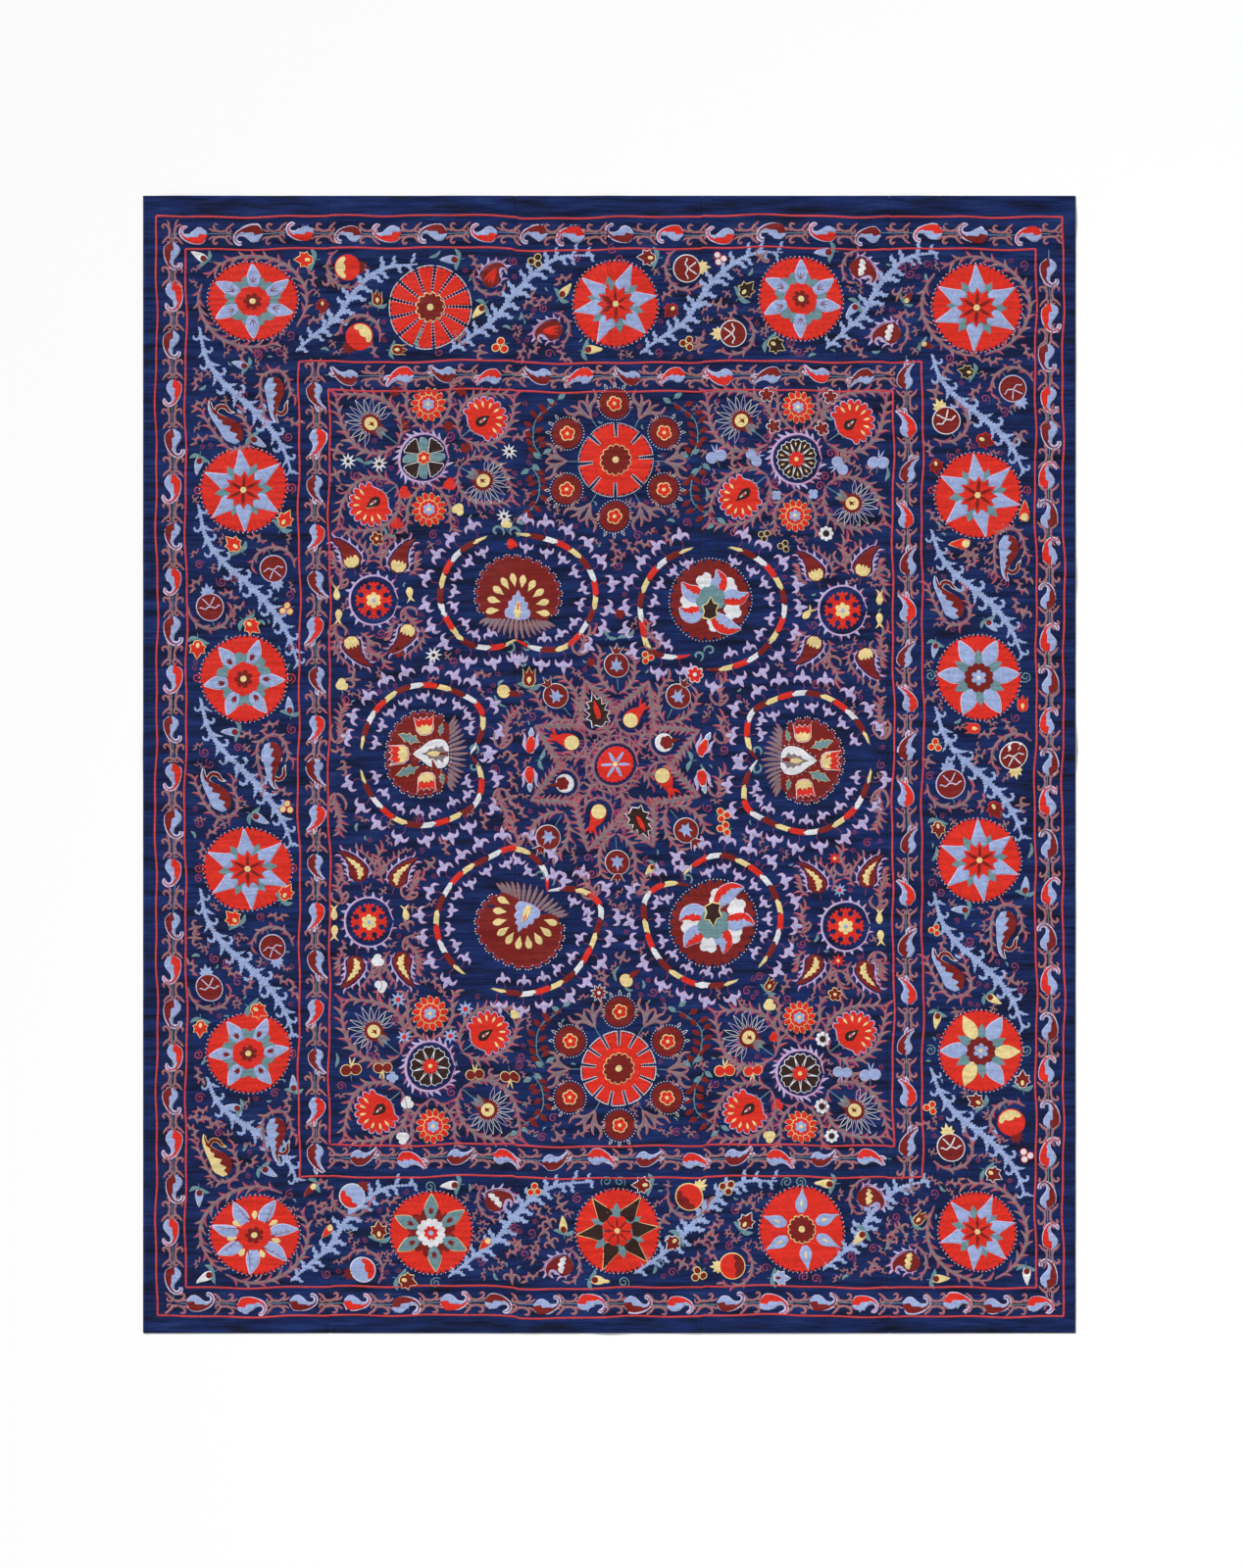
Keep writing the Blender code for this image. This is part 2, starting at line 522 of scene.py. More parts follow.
def curl(colour, layer, radius, turns=1.3, halfWidth=0.11, rows=16, tail=1.2):
    # Spiral: radius shrinking evenly with the angle, with a short tail at its outer end
    angle = np.linspace(0, 2 * np.pi * turns, 9)
    reach = radius * np.linspace(1, 0.18, 9)
    knots = polar(reach, angle)
    if tail:
        knots = np.vstack([[radius * 0.8, -tail], knots])
    return ribbon(colour, layer, knots, [halfWidth * 0.7, halfWidth, halfWidth, halfWidth * 0.8], rows)


def vine(knots, halfWidth=0.34, thorns=9, thorn=1.3, sides=(1, -1), lean=30, colour="taupe", edge="rose",
        rim=0.15, skip=0.06, tips="salmon"):
    # Tapering stem edged in a second colour, with barbs that lean forward from it and a thinner
    # stroke of a third colour beside each
    rows = max(8, thorns * 2)
    line, normal, _ = edges(knots, halfWidth, 60)
    core = halfWidth * np.array([0.4, 0.85, 0.85, 0.25])
    made = edged(colour, edge, 1, smoothLine(knots, 10), core, rows, 3, rim)
    for k, place in enumerate(np.linspace(skip, 0.95, thorns)):
        i = int(place * 59)
        heading = np.degrees(np.arctan2(-normal[i, 0], normal[i, 1]))
        for side in sides:
            if len(sides) == 2 and (k + (side > 0)) % 2:
                continue
            length = thorn * (1.58 if k % 2 else 1.22)
            barb = [(0, 0), (length * 0.6, length * 0.02 * side), (length * 1.15, length * 0.28 * side)]
            shape = ribbon(tips, 1, [(x - 0.1, y - 0.2 * side) for x, y in barb], [0.18, 0.24, 0.05], 5)
            shape += ribbon(colour if (k // 2) % 2 else edge, 1, barb, [halfWidth * 0.66, 0.25, 0.04], 5)
            made += moved(shape, line[i, 0], line[i, 1], heading + 0.85 * lean * side)
    return made


def twoTone(knots, halfWidths, left, right, edge, layer=1, teeth=3, bite=0.42, shift=0, rows=19, rim=0.16):
    # Shape in two colours either side of a toothed line: side = shift + bite * saw(teeth * t)
    line, normal, width = edges(knots, halfWidths, rows)
    t = np.linspace(0, 1, rows)
    saw = (t * teeth * 1.6) % 1 - 0.5
    split = (shift + bite * saw * np.clip(4 * (1 - t), 0, 1))[:, None] * width[:, None]
    leftEdge = line + normal * width[:, None]
    rightEdge = line - normal * width[:, None]
    middle = line + normal * split
    made = ribbon(edge, layer, knots, np.asarray(halfWidths) + rim, rows) if edge else []
    made += between(right, layer + 1, rightEdge, middle + normal * 0.1)
    made += between(left, layer + 2, middle, leftEdge)
    return made


bandBoteh = {
    "spine": [(0.15, 2.9), (-0.05, 1.6), (-0.5, 0.2), (-0.65, -1.2), (-0.15, -2.5), (0.95, -2.9),
        (1.8, -2.2), (1.6, -1.5)],
    "halfWidths": [0.5, 1.66, 1.42, 0.74, 0.3, 0.2, 0.18, 0.1],
    "flameSpine": [(0, 2.6), (-0.1, 1.3), (-0.3, 0), (0.1, -1.4), (1, -2.5), (2.1, -3.4)],
    "flameWidths": [0.5, 1.62, 1.42, 0.8, 0.36, 0.06],
    "rim": 0.36,
}


def hookBoteh(body):
    # Band boteh with its round end up and a hooked tail
    return twoTone(bandBoteh["spine"], bandBoteh["halfWidths"], "sky", body, "pale", shift=0.1,
        rim=bandBoteh["rim"])


def flameBoteh(body):
    # Band boteh whose tail ends in a point with a flame beside it
    made = twoTone(bandBoteh["flameSpine"], bandBoteh["flameWidths"], "sky", body, "pale", shift=0.1,
        rim=bandBoteh["rim"])
    flame = edged(body, "pale", 2, [(0.5, -1.9), (0.1, -2.8), (0.5, -3.6)], [0.16, 0.18, 0.03], 6, 3, 0.24)
    return made + flame


def scrollPair():
    # Two open scrolls back to back across the stem of a band, each with a hook above and a curl below
    side = stroke([(0.5, 0.1), (0.75, 1.1), (1.5, 1.7), (2.1, 1.4), (1.9, 0.8)],
        [0.12, 0.15, 0.14, 0.12, 0.06], 9, 0.15)
    side += stroke([(0.55, 0.3), (0.7, -0.9), (1.5, -1.5), (2.2, -2.4)], [0.12, 0.15, 0.13, 0.03], 8, 0.15)
    side += stroke([(0.7, 1), (0.7, 1.9), (1.2, 2.7)], [0.1, 0.12, 0.03], 5, 0.13)
    side += stroke([(0.7, -0.8), (0.3, -1.5), (0.6, -2.1), (1.1, -1.9)], [0.1, 0.11, 0.1, 0.05], 7, 0.12)
    return paired(side)


outerBotehs = {"R": hookBoteh("scarlet"), "M": hookBoteh("maroon")}
innerBotehs = {"R": flameBoteh("scarlet"), "M": flameBoteh("maroon")}
scrolls = scrollPair()


# ---- the border lines and the two bands of botehs

# Each frame is left, right, bottom, top in cm
lineFrames = [
    (-97.1, 97.4, -118.4, 117.5),
    (-90.8, 91.5, -112.2, 110.6),
    (-66.5, 67.2, -88.6, 86.3),
    (-60, 60.9, -81.8, 80.1),
]
lineHalfWidth = 0.21


def straight(start, end, spacing=0.9):
    # Points along a straight line with a slight waver of its own
    count = int(np.hypot(end[0] - start[0], end[1] - start[1]) / spacing) + 2
    t = np.linspace(0, 1, count)[:, None]
    line = np.array(start) + t * (np.array(end) - np.array(start))
    reach = np.array([end[1] - start[1], end[0] - start[0]]) / np.hypot(*(np.array(end) - np.array(start)))
    return line + 0.22 * np.sin(t * 17 + start[0]) * np.sin(np.pi * t) * reach


for left, right, bottom, top in lineFrames:
    for start, end in (((left, top), (right, top)), ((left, bottom), (right, bottom)),
            ((left, bottom), (left, top)), ((right, bottom), (right, top))):
        line = straight(start, end)
        stitchOn(ribbon("coral", 2, line, lineHalfWidth, len(line)))

# One side of a band in each row: boteh templates, turn, "x" or "y" for the way it runs, its place across,
# and what comes along it: R or M for a scarlet or maroon body, small letters where the hook is turned over.
# The last value says at which end of the row a pair of scrolls stands
bandSides = [
    (outerBotehs, -90, "x", 113.8, "rMrMrMrMRmRrMrMRmR",
        (-88.9, -77.1, -66.1, -55.8, -47.4, -37.5, -26.6, -15.9, -8.1, 2.6, 13.4, 24.1, 35, 46, 55.8, 68.7,
        78.3, 90.1), "end"),
    (outerBotehs, 90, "x", -115.7, "MrMRmRmMrMrMrMrMrMr",
        (-88, -76.9, -65.9, -54.4, -43.8, -33.3, -23.9, -13.6, -4.1, 5.8, 15, 25.8, 35, 45.5, 54.6, 65.7,
        74.6, 83, 92.2), "start"),
    (outerBotehs, 0, "y", -93.6, "MrMrMrMrMrMrMrMrMrMrMrM",
        (109.1, 100.3, 90, 79.7, 69, 59.1, 49, 39.1, 28.6, 18.3, 7.6, -2.7, -12.8, -23.3, -34.7, -44, -53.4,
        -62.9, -72.3, -81.6, -91.1, -100.3, -110.6), "start"),
    (outerBotehs, 0, "y", 94.3, "MRMRM", (105.6, 95.9, 87.5, 78.4, 70.9), "end"),
    (outerBotehs, 180, "y", 94.3, "rMrMrMrMrMrMrMrMrMrM",
        (62, 53.6, 45.6, 36, 27.1, 18.1, 9.3, 0.4, -8, -17.2, -27.3, -37, -46.3, -56.4, -65.6, -75.3, -83.3,
        -92.3, -101.2, -109.4), "end"),
    (innerBotehs, -90, "x", 83.3, "mRmRmRmRrMrM",
        (-56.3, -44.5, -35.2, -25.3, -14.8, -6, 4.3, 14, 24.1, 34.4, 44.9, 54.4), "end"),
    (innerBotehs, 90, "x", -84.6, "MrMrMrMrMrMr",
        (-53.1, -42.8, -32.3, -22.6, -11.9, -2, 8.1, 18, 27.2, 36.1, 45.5, 55.6), "start"),
    (innerBotehs, 0, "y", -62.9, "MrMrMrMrMrMrMrMrM",
        (79.2, 69.3, 59.4, 49, 38.7, 28.8, 18.3, 8, -1.5, -11.4, -21.9, -32.4, -42.7, -53, -63.5, -74.2,
        -84.3), "start"),
    (innerBotehs, 180, "y", 63.9, "mRmRmRmRmRmRmRmRm",
        (83.1, 72.8, 62.9, 53, 43.1, 33.2, 23.3, 13.7, 3.4, -6.7, -16.8, -27.8, -38.7, -49, -60.1, -70.9,
        -81.4), "end"),
]
bandEnds = 4.9       # cm from the last boteh of a side to the scrolls at the corner


def workBandSide(botehs, turn, way, across, order, spots, scrollEnd):
    # Botehs along one side on a thin stem, with a pair of scrolls between each two and at the ends
    for k, (letter, spot) in enumerate(zip(order, spots)):
        x, y = (spot, across) if way == "x" else (across, spot)
        drift = 0.3 * np.sin(2.3 * k + turn)
        stitchOn(botehs[letter.upper()], x + (0 if way == "x" else drift), y + (drift if way == "x" else 0),
            turn + 4 * np.sin(1.9 * k), 0.97 + 0.05 * np.sin(1.7 * k), 1 if letter.isupper() else -1)
    step = np.sign(spots[1] - spots[0])
    gaps = (np.array(spots[:-1]) + np.array(spots[1:])) / 2
    ends = (spots[0] - step * bandEnds, spots[-1] + step * bandEnds)
    gaps = np.append(gaps, ends[scrollEnd == "end"])
    for gap in gaps:
        x, y = (gap, across) if way == "x" else (across, gap)
        stitchOn(scrolls, x, y, turn if way == "y" else turn + 180)
    line = straight(*[(end, across) if way == "x" else (across, end) for end in ends])
    stitchOn(ribbon("sage", 1, line, 0.1, len(line)))


for side in bandSides:
    workBandSide(*side)
print("border lines and bands of botehs drawn")

# ---- places read off the photograph

# Middle of the cloth in the photograph, and the size of one of its pixels in cm
photoMiddle = (621.5, 780)
pixel = 0.2103


def at(px, py):
    # Place in the photograph to cm on the cloth
    return (px - photoMiddle[0]) * pixel, (photoMiddle[1] - py) * pixel


def grown(edge, rim):
    # Closed edge moved outwards: point + rim * outward normal
    edge = np.asarray(edge, float)
    loop = edge[:-1]
    step = np.roll(loop, -1, 0) - np.roll(loop, 1, 0)
    step = step / (np.linalg.norm(step, axis=1, keepdims=True) + 1e-9)
    turning = np.sign(np.sum(loop[:, 0] * np.roll(loop[:, 1], -1) - loop[:, 1] * np.roll(loop[:, 0], -1)))
    wider = loop + rim * turning * np.stack([step[:, 1], -step[:, 0]], 1)
    return np.vstack([wider, wider[:1]])


def outlined(colour, edge, layer, outline, rim=0.14, centre=(0, 0), rings=None):
    # Filled closed shape on a slightly larger ring of the edging colour
    under = spread(edge, layer, grown(outline, rim), (0.75,), centre)
    return under + spread(colour, layer + 1, outline, rings, centre)


def closed(points, smooth=0):
    # Closed edge through the points, straight between them or rounded with a number of steps each
    points = np.array(points, float)
    loop = np.vstack([points, points[:1]])
    if not smooth:
        return loop
    ring = np.vstack([points[-1], loop, points[1]])
    line = smoothLine(ring, (len(ring) - 1) * smooth + 1)
    return line[smooth:-smooth]


def petal(colour, layer, start, end, halfWidth, bend=0, edge=None, rim=0.18, rows=8):
    # Leaf shaped petal up the y axis: half width swells to its full value near the middle
    widths = np.array([0.2, 0.72, 1, 0.9, 0.52, 0.02]) * halfWidth
    knots = [(0, start), (bend, (start + end) / 2), (0, end)]
    if edge:
        return edged(colour, edge, layer, knots, widths, rows, 5, rim)
    return ribbon(colour, layer, knots, widths, rows, 5)


def rimBeads(radius, count, size=0.17, layer=2, start=0):
    # White knots at even angles on a circle
    angle = np.linspace(0, 2 * np.pi, count, endpoint=False) + start
    return beads("white", layer, polar(radius, angle), size)


def spokes(motif, headings):
    # Copies with their y axis along each heading in degrees
    made = []
    for heading in headings:
        made += moved(motif, turn=heading - 90)
    return made


# ---- border rosettes

def rosetteParts():
    # What goes on a scarlet disc: the layer under the petals, the petals, what fills between, the heart
    crown = spread("sage", 2, closed(bothSides([(-1.6, 2.4), (-2.2, 4.7), (-1, 4.6), (0, 6.3)])), (0,),
        (0, 3.6))
    heartStar = star("scarlet", 5, 12, 4.3, 2.9) + disc("cream", 7, 0.66, rows=13)
    heartStar += around(ribbon("maroon", 6, [(0, 0.3), (0, 3.5)], [0.3, 0.64, 0.5, 0.05], 7), 6)
    heartLobes = disc("scarlet", 4, 3.7, 13, 0.1) + disc("maroon", 5, 2, 7, 0.32)
    heartLobes += disc("cream", 6, 0.7, rows=13)
    trident = [part for turn in (-26, 0, 26)
        for part in moved(ribbon("maroon", 5, [(0, 0), (0, 2.1)], [0.18, 0.2, 0.04], 5), 0, 4.1, turn)]
    tulip = spread("maroon", 5,
        closed(bothSides([(0, 3.9), (0.5, 4.5), (0.6, 5.6), (0.25, 5.2), (0, 5.9)])), (0,), (0, 4.7))
    leafArm = petal("sky", 3, 2.6, 8.5, 1.35, 0.2, "pale")
    sageRing = disc("sage", 2, 5.9, 12, 0.15)
    skyHeart = disc("maroon", 4, 3.3, 12, 0.13) + disc("sky", 5, 1.75, 6, 0.35)
    vein = petal("sky", 3, 2.6, 8.8, 1.3, -0.3, "pale")
    vein += ribbon("maroon", 5, [(0.9, 3.2), (0.35, 6), (0.1, 8.3)], [0.14, 0.14, 0.08], 7)
    for k in range(3):
        barb = ribbon("maroon", 5, [(0, 0), (-0.45, 0.45), (-0.6, 1)], [0.12, 0.1, 0.04], 4)
        vein += moved(barb, 0.75 - 0.2 * k, 4 + 1.1 * k, 10)
    fleur = petal("sage", 3, 2.6, 8.6, 1.45, 0, "cream", 0.12) + moved(tulip, 0, 0.1)
    darkHeart = disc("scarlet", 5, 3.5, 8, 0.22) + disc("cream", 7, 0.6, rows=13)
    darkHeart += around(ribbon("maroon", 6, [(0, 0.5), (0, 3.1)], [0.2, 0.36, 0.3, 0.06], 6), 8)
    whiteHeart = disc("white", 4, 3.3, 13, 0.14) + disc("scarlet", 5, 1.7, 8, 0.25)
    whiteHeart += disc("sky", 6, 0.6, rows=13)
    tear = edged("sky", "lilac", 2, [(0, 8.9), (0, 3.5)], [0.05, 0.5, 1.15, 1.3, 0.5], 9, 5, 0.1)
    tear += moved(drop("cream", 4, 1.9, 0.42), 0, 6.6, 180)
    tearHeart = outlined("maroon", "cream", 2, scallops(3, 14, 0.14), 0.16)
    tearHeart += disc("cream", 5, 0.72, rows=13)

    def starPetal(colour, edge):
        # Petal with straight sides from its base to the tip
        return edged(colour, edge, 3, [(0, 3.2), (0, 6), (0, 8.9)], [1.35, 1.75, 1.28, 0.85, 0.42, 0.02], 8,
            5, 0.12)

    return {
        "star": ([], [starPetal("sky", "pale")], crown, heartStar),
        "leaf": (sageRing, [leafArm + trident], [], heartLobes),
        "tulip": (sageRing, [leafArm + tulip], [], heartLobes),
        "vein": ([], [vein], moved(drop("cream", 3, 2.2, 0.6), 0, 3.4), heartLobes),
        "fleur": (disc("maroon", 2, 5.6, 12, 0.2), [fleur], [], whiteHeart),
        "dark": ([], [starPetal("dark", "cream")], crown, darkHeart),
        "tear": ([], [tear], [], tearHeart),
        "wide": ([], [petal("sky", 3, 2.6, 8.8, 1.62, 0, "pale")], crown, skyHeart
            + disc("white", 6, 0.5, rows=11)),
        "mixed": ([], [petal("cream", 3, 2.6, 8.8, 1.6), petal("sky", 3, 2.6, 8.8, 1.6, 0, "pale")], crown,
            skyHeart + disc("cream", 6, 0.5, rows=11)),
    }


rosetteKinds = rosetteParts()

# Middle x, y, half width, half height in cm, kind, headings of the petals in degrees
rosettes = [
    (-76.5, 99.5, 9.7, 8.6, "leaf", (90, 33, -20, -90, -153, 150)),
    (1.2, 98.8, 9.3, 9.3, "star", (66, 11, -45, -114, 190, 141)),
    (41, 99.7, 9.1, 9.1, "leaf", (88, 31, -11, -90, 203, 151)),
    (78.7, 98, 9.7, 9.5, "star", (90, 30, -29, -93, 200, 151)),
    (-78.4, 59.1, 9.4, 9.2, "star", (97, 36, -34, -88, 223, 157)),
    (-78.2, 18.5, 9.4, 9.3, "tulip", (70, -3, -59, 243, 191, 129)),
    (-77.6, -22.4, 9.6, 9, "star", (95, 40, -25, -85, 215, 155)),
    (-77.3, -61.8, 9.2, 8.7, "tulip", (65, 5, -55, 240, 185, 125)),
    (-75.9, -100.9, 9.7, 8.6, "vein", (120, 62, 8, -44, -98, 210, 166)),
    (-38.1, -100.6, 9, 9, "fleur", (90, 33, -28, -85, -153, 155)),
    (1.9, -100.2, 9.15, 9.15, "dark", (57, 7, -46, -112, 183, 127)),
    (41.4, -100, 9.25, 9.25, "tear", (90, 24, -24, -81, 210, 161)),
    (79, -100.1, 8.4, 8.6, "star", (65, 13, -43, -97, 198, 133)),
    (79.2, 57.8, 9.3, 9.3, "star", (97, 42, -12, -80, 221, 154)),
    (79.3, 18.8, 9, 9.2, "wide", (62, 5, -58, -115, 178, 118)),
    (79.2, -20.5, 9, 9, "star", (90, 38, -19, -82, 220, 160)),
    (79.8, -61.4, 9, 8.9, "mixed", (118, 60, 0, -55, 245, 180)),
]
rosetteScallops = 46
rosetteRadius = 9.3      # cm, the size at which the kinds are drawn
rosetteRim = 9.35        # where their white knots stand


def rosette(x, y, halfWidth, halfHeight, kind, headings):
    # Scarlet scalloped disc with the parts of its kind, white knots round the rim
    under, petals, filling, heart = rosetteKinds[kind]
    size = halfWidth / rosetteRadius
    made = disc("scarlet", 1, rosetteRadius, rosetteScallops, 0.07)
    made += rimBeads(rosetteRim, rosetteScallops + 14, 0.13) + under + heart
    for k, heading in enumerate(headings):
        made += moved(petals[k % len(petals)], turn=heading - 90)
        after = headings[(k + 1) % len(headings)]
        gap = (heading - after) % 360
        made += moved(filling, turn=heading - gap / 2 - 90)
    stitchOn(made, x, y, 0, size, 1, halfHeight / halfWidth)


def wedges(radius, inner, headings, gapInner, gapOuter, scallopsEach=3):
    # Scarlet wedges between slots at the headings, white knots along the slots and the scalloped rim.
    # A slot's half width grows evenly from gapInner to gapOuter
    made = []
    for k, heading in enumerate(headings):
        turn = (headings[k - 1] - heading) % 360
        way = np.radians(heading + turn * np.linspace(0, 1, 13))
        ends = 1 - 2 * np.linspace(0, 1, 13)
        low, high = way + ends * gapInner / inner, way + ends * gapOuter / radius
        lift = radius - 0.5 + 0.5 * np.abs(np.sin(np.linspace(0, scallopsEach * np.pi, 13)))
        made += between("scarlet", 1, polar(inner, low), polar(lift, high))
        made += beads("white", 2, polar(radius + 0.05, high)[1:-1], 0.14)
        t = np.linspace(0.12, 1, 9)
        reach = inner + t * (radius - inner)
        for side in (0, -1):
            angle = low[side] + t * (high[side] - low[side])
            made += beads("white", 2, polar(reach, angle), 0.13)
    return made


for row in rosettes:
    rosette(*row)
sun = wedges(8.85, 2.6, [360 * k / 13 for k in range(13, 0, -1)], 0.13, 0.34)
sun += outlined("maroon", "cream", 2, scallops(3.1, 12, 0.16), 0.16) + disc("cream", 5, 0.74, rows=13)
stitchOn(sun, -38.5, 97.9)
print("border rosettes drawn")


# ---- vines, spirals, knotted leaves and fruit of the border

def arcVine(radiusX, radiusY, fromDeg, toDeg, thorns=None, **more):
    # Barbed vine along an ellipse about the origin
    angle = np.radians(np.linspace(fromDeg, toDeg, 9))
    knots = polar(radiusX, angle, radiusY)
    length = abs(np.radians(toDeg - fromDeg)) * (radiusX + radiusY) / 2
    return vine(knots, thorns=thorns or max(4, int(length / 1.35)), **more)


def knotted(colour, layer, knots, halfWidths, rows):
    # Ribbon of knots: every second half width drawn in
    line, normal, width = edges(knots, halfWidths, rows)
    width = width * np.where(np.arange(rows) % 2 == 0, 1.25, 0.62)
    side = np.array([-1, 0, 1])
    xy = line[:, None] + normal[:, None] * (side * width[:, None])[..., None]
    return patch(colour, layer, xy)


# Sway of a knotted leaf off its straight line, as shares of its length, and what grows on it
knottedLeafWays = {
    "upright": (0, -0.05, -0.045, 0, 0.035, 0.04, 0),
    "level": (0, 0.01, 0.02, 0.08, 0.115, 0.1, 0),
}


def knottedLeaf(start, end, way, curlSide=1):
    # Long knotted stem. An upright one has curls and thorns turn about, a level one stubby thorns only
    a, b = np.array(start), np.array(end)
    run = b - a
    length = np.hypot(*run)
    ahead = run / length
    aside = np.array([-ahead[1], ahead[0]])
    sway = np.array(knottedLeafWays[way]) * length
    knots = a + np.linspace(0, 1, len(sway))[:, None] * run + sway[:, None] * aside
    line, normal, _ = edges(knots, 1, 80)
    stout = 1.1 if way == "upright" else 0.92
    made = knotted("sky", 1, knots, np.array([0.3, 0.56, 0.66, 0.56, 0.2]) * stout, int(length * 3))
    curlShape = knotted("sky", 1, [(0, 0), (0.5, 1), (1.3, 1.5), (2, 1), (1.8, 0.3)],
        [0.45, 0.4, 0.36, 0.34, 0.24], 13)
    thornShape = knotted("sky", 1, [(0, -0.4), (0.8, 0.6), (2.1, 1.4)], [0.55, 0.4, 0.08], 9)
    stub = knotted("sky", 1, [(0, -0.6), (0.9, 0.5), (1.9, 0.5), (2.3, 1.2)], [0.62, 0.5, 0.42, 0.12], 11)
    count = int(length / 2.7)
    for k in range(count):
        i = int((k + 0.55) / count * 79)
        heading = np.degrees(np.arctan2(-normal[i, 0], normal[i, 1])) - 90
        side = curlSide * (1 if k % 2 else -1)
        grow = 0.75 + 0.4 * np.sin(np.pi * (k + 0.6) / count)
        made += moved(curlShape if way == "upright" else stub, *line[i], heading, grow, side)
        made += moved(thornShape if way == "upright" else stub, *(line[i] + 0.9 * ahead), heading, grow,
            -side)
    for colour, points in made:
        stitched[colour].append(points)


def spiral(size=1, colour="rose", turns=1.4, tail=1):
    return curl(colour, 1, 1.05 * size, turns, 0.15, 20, tail)


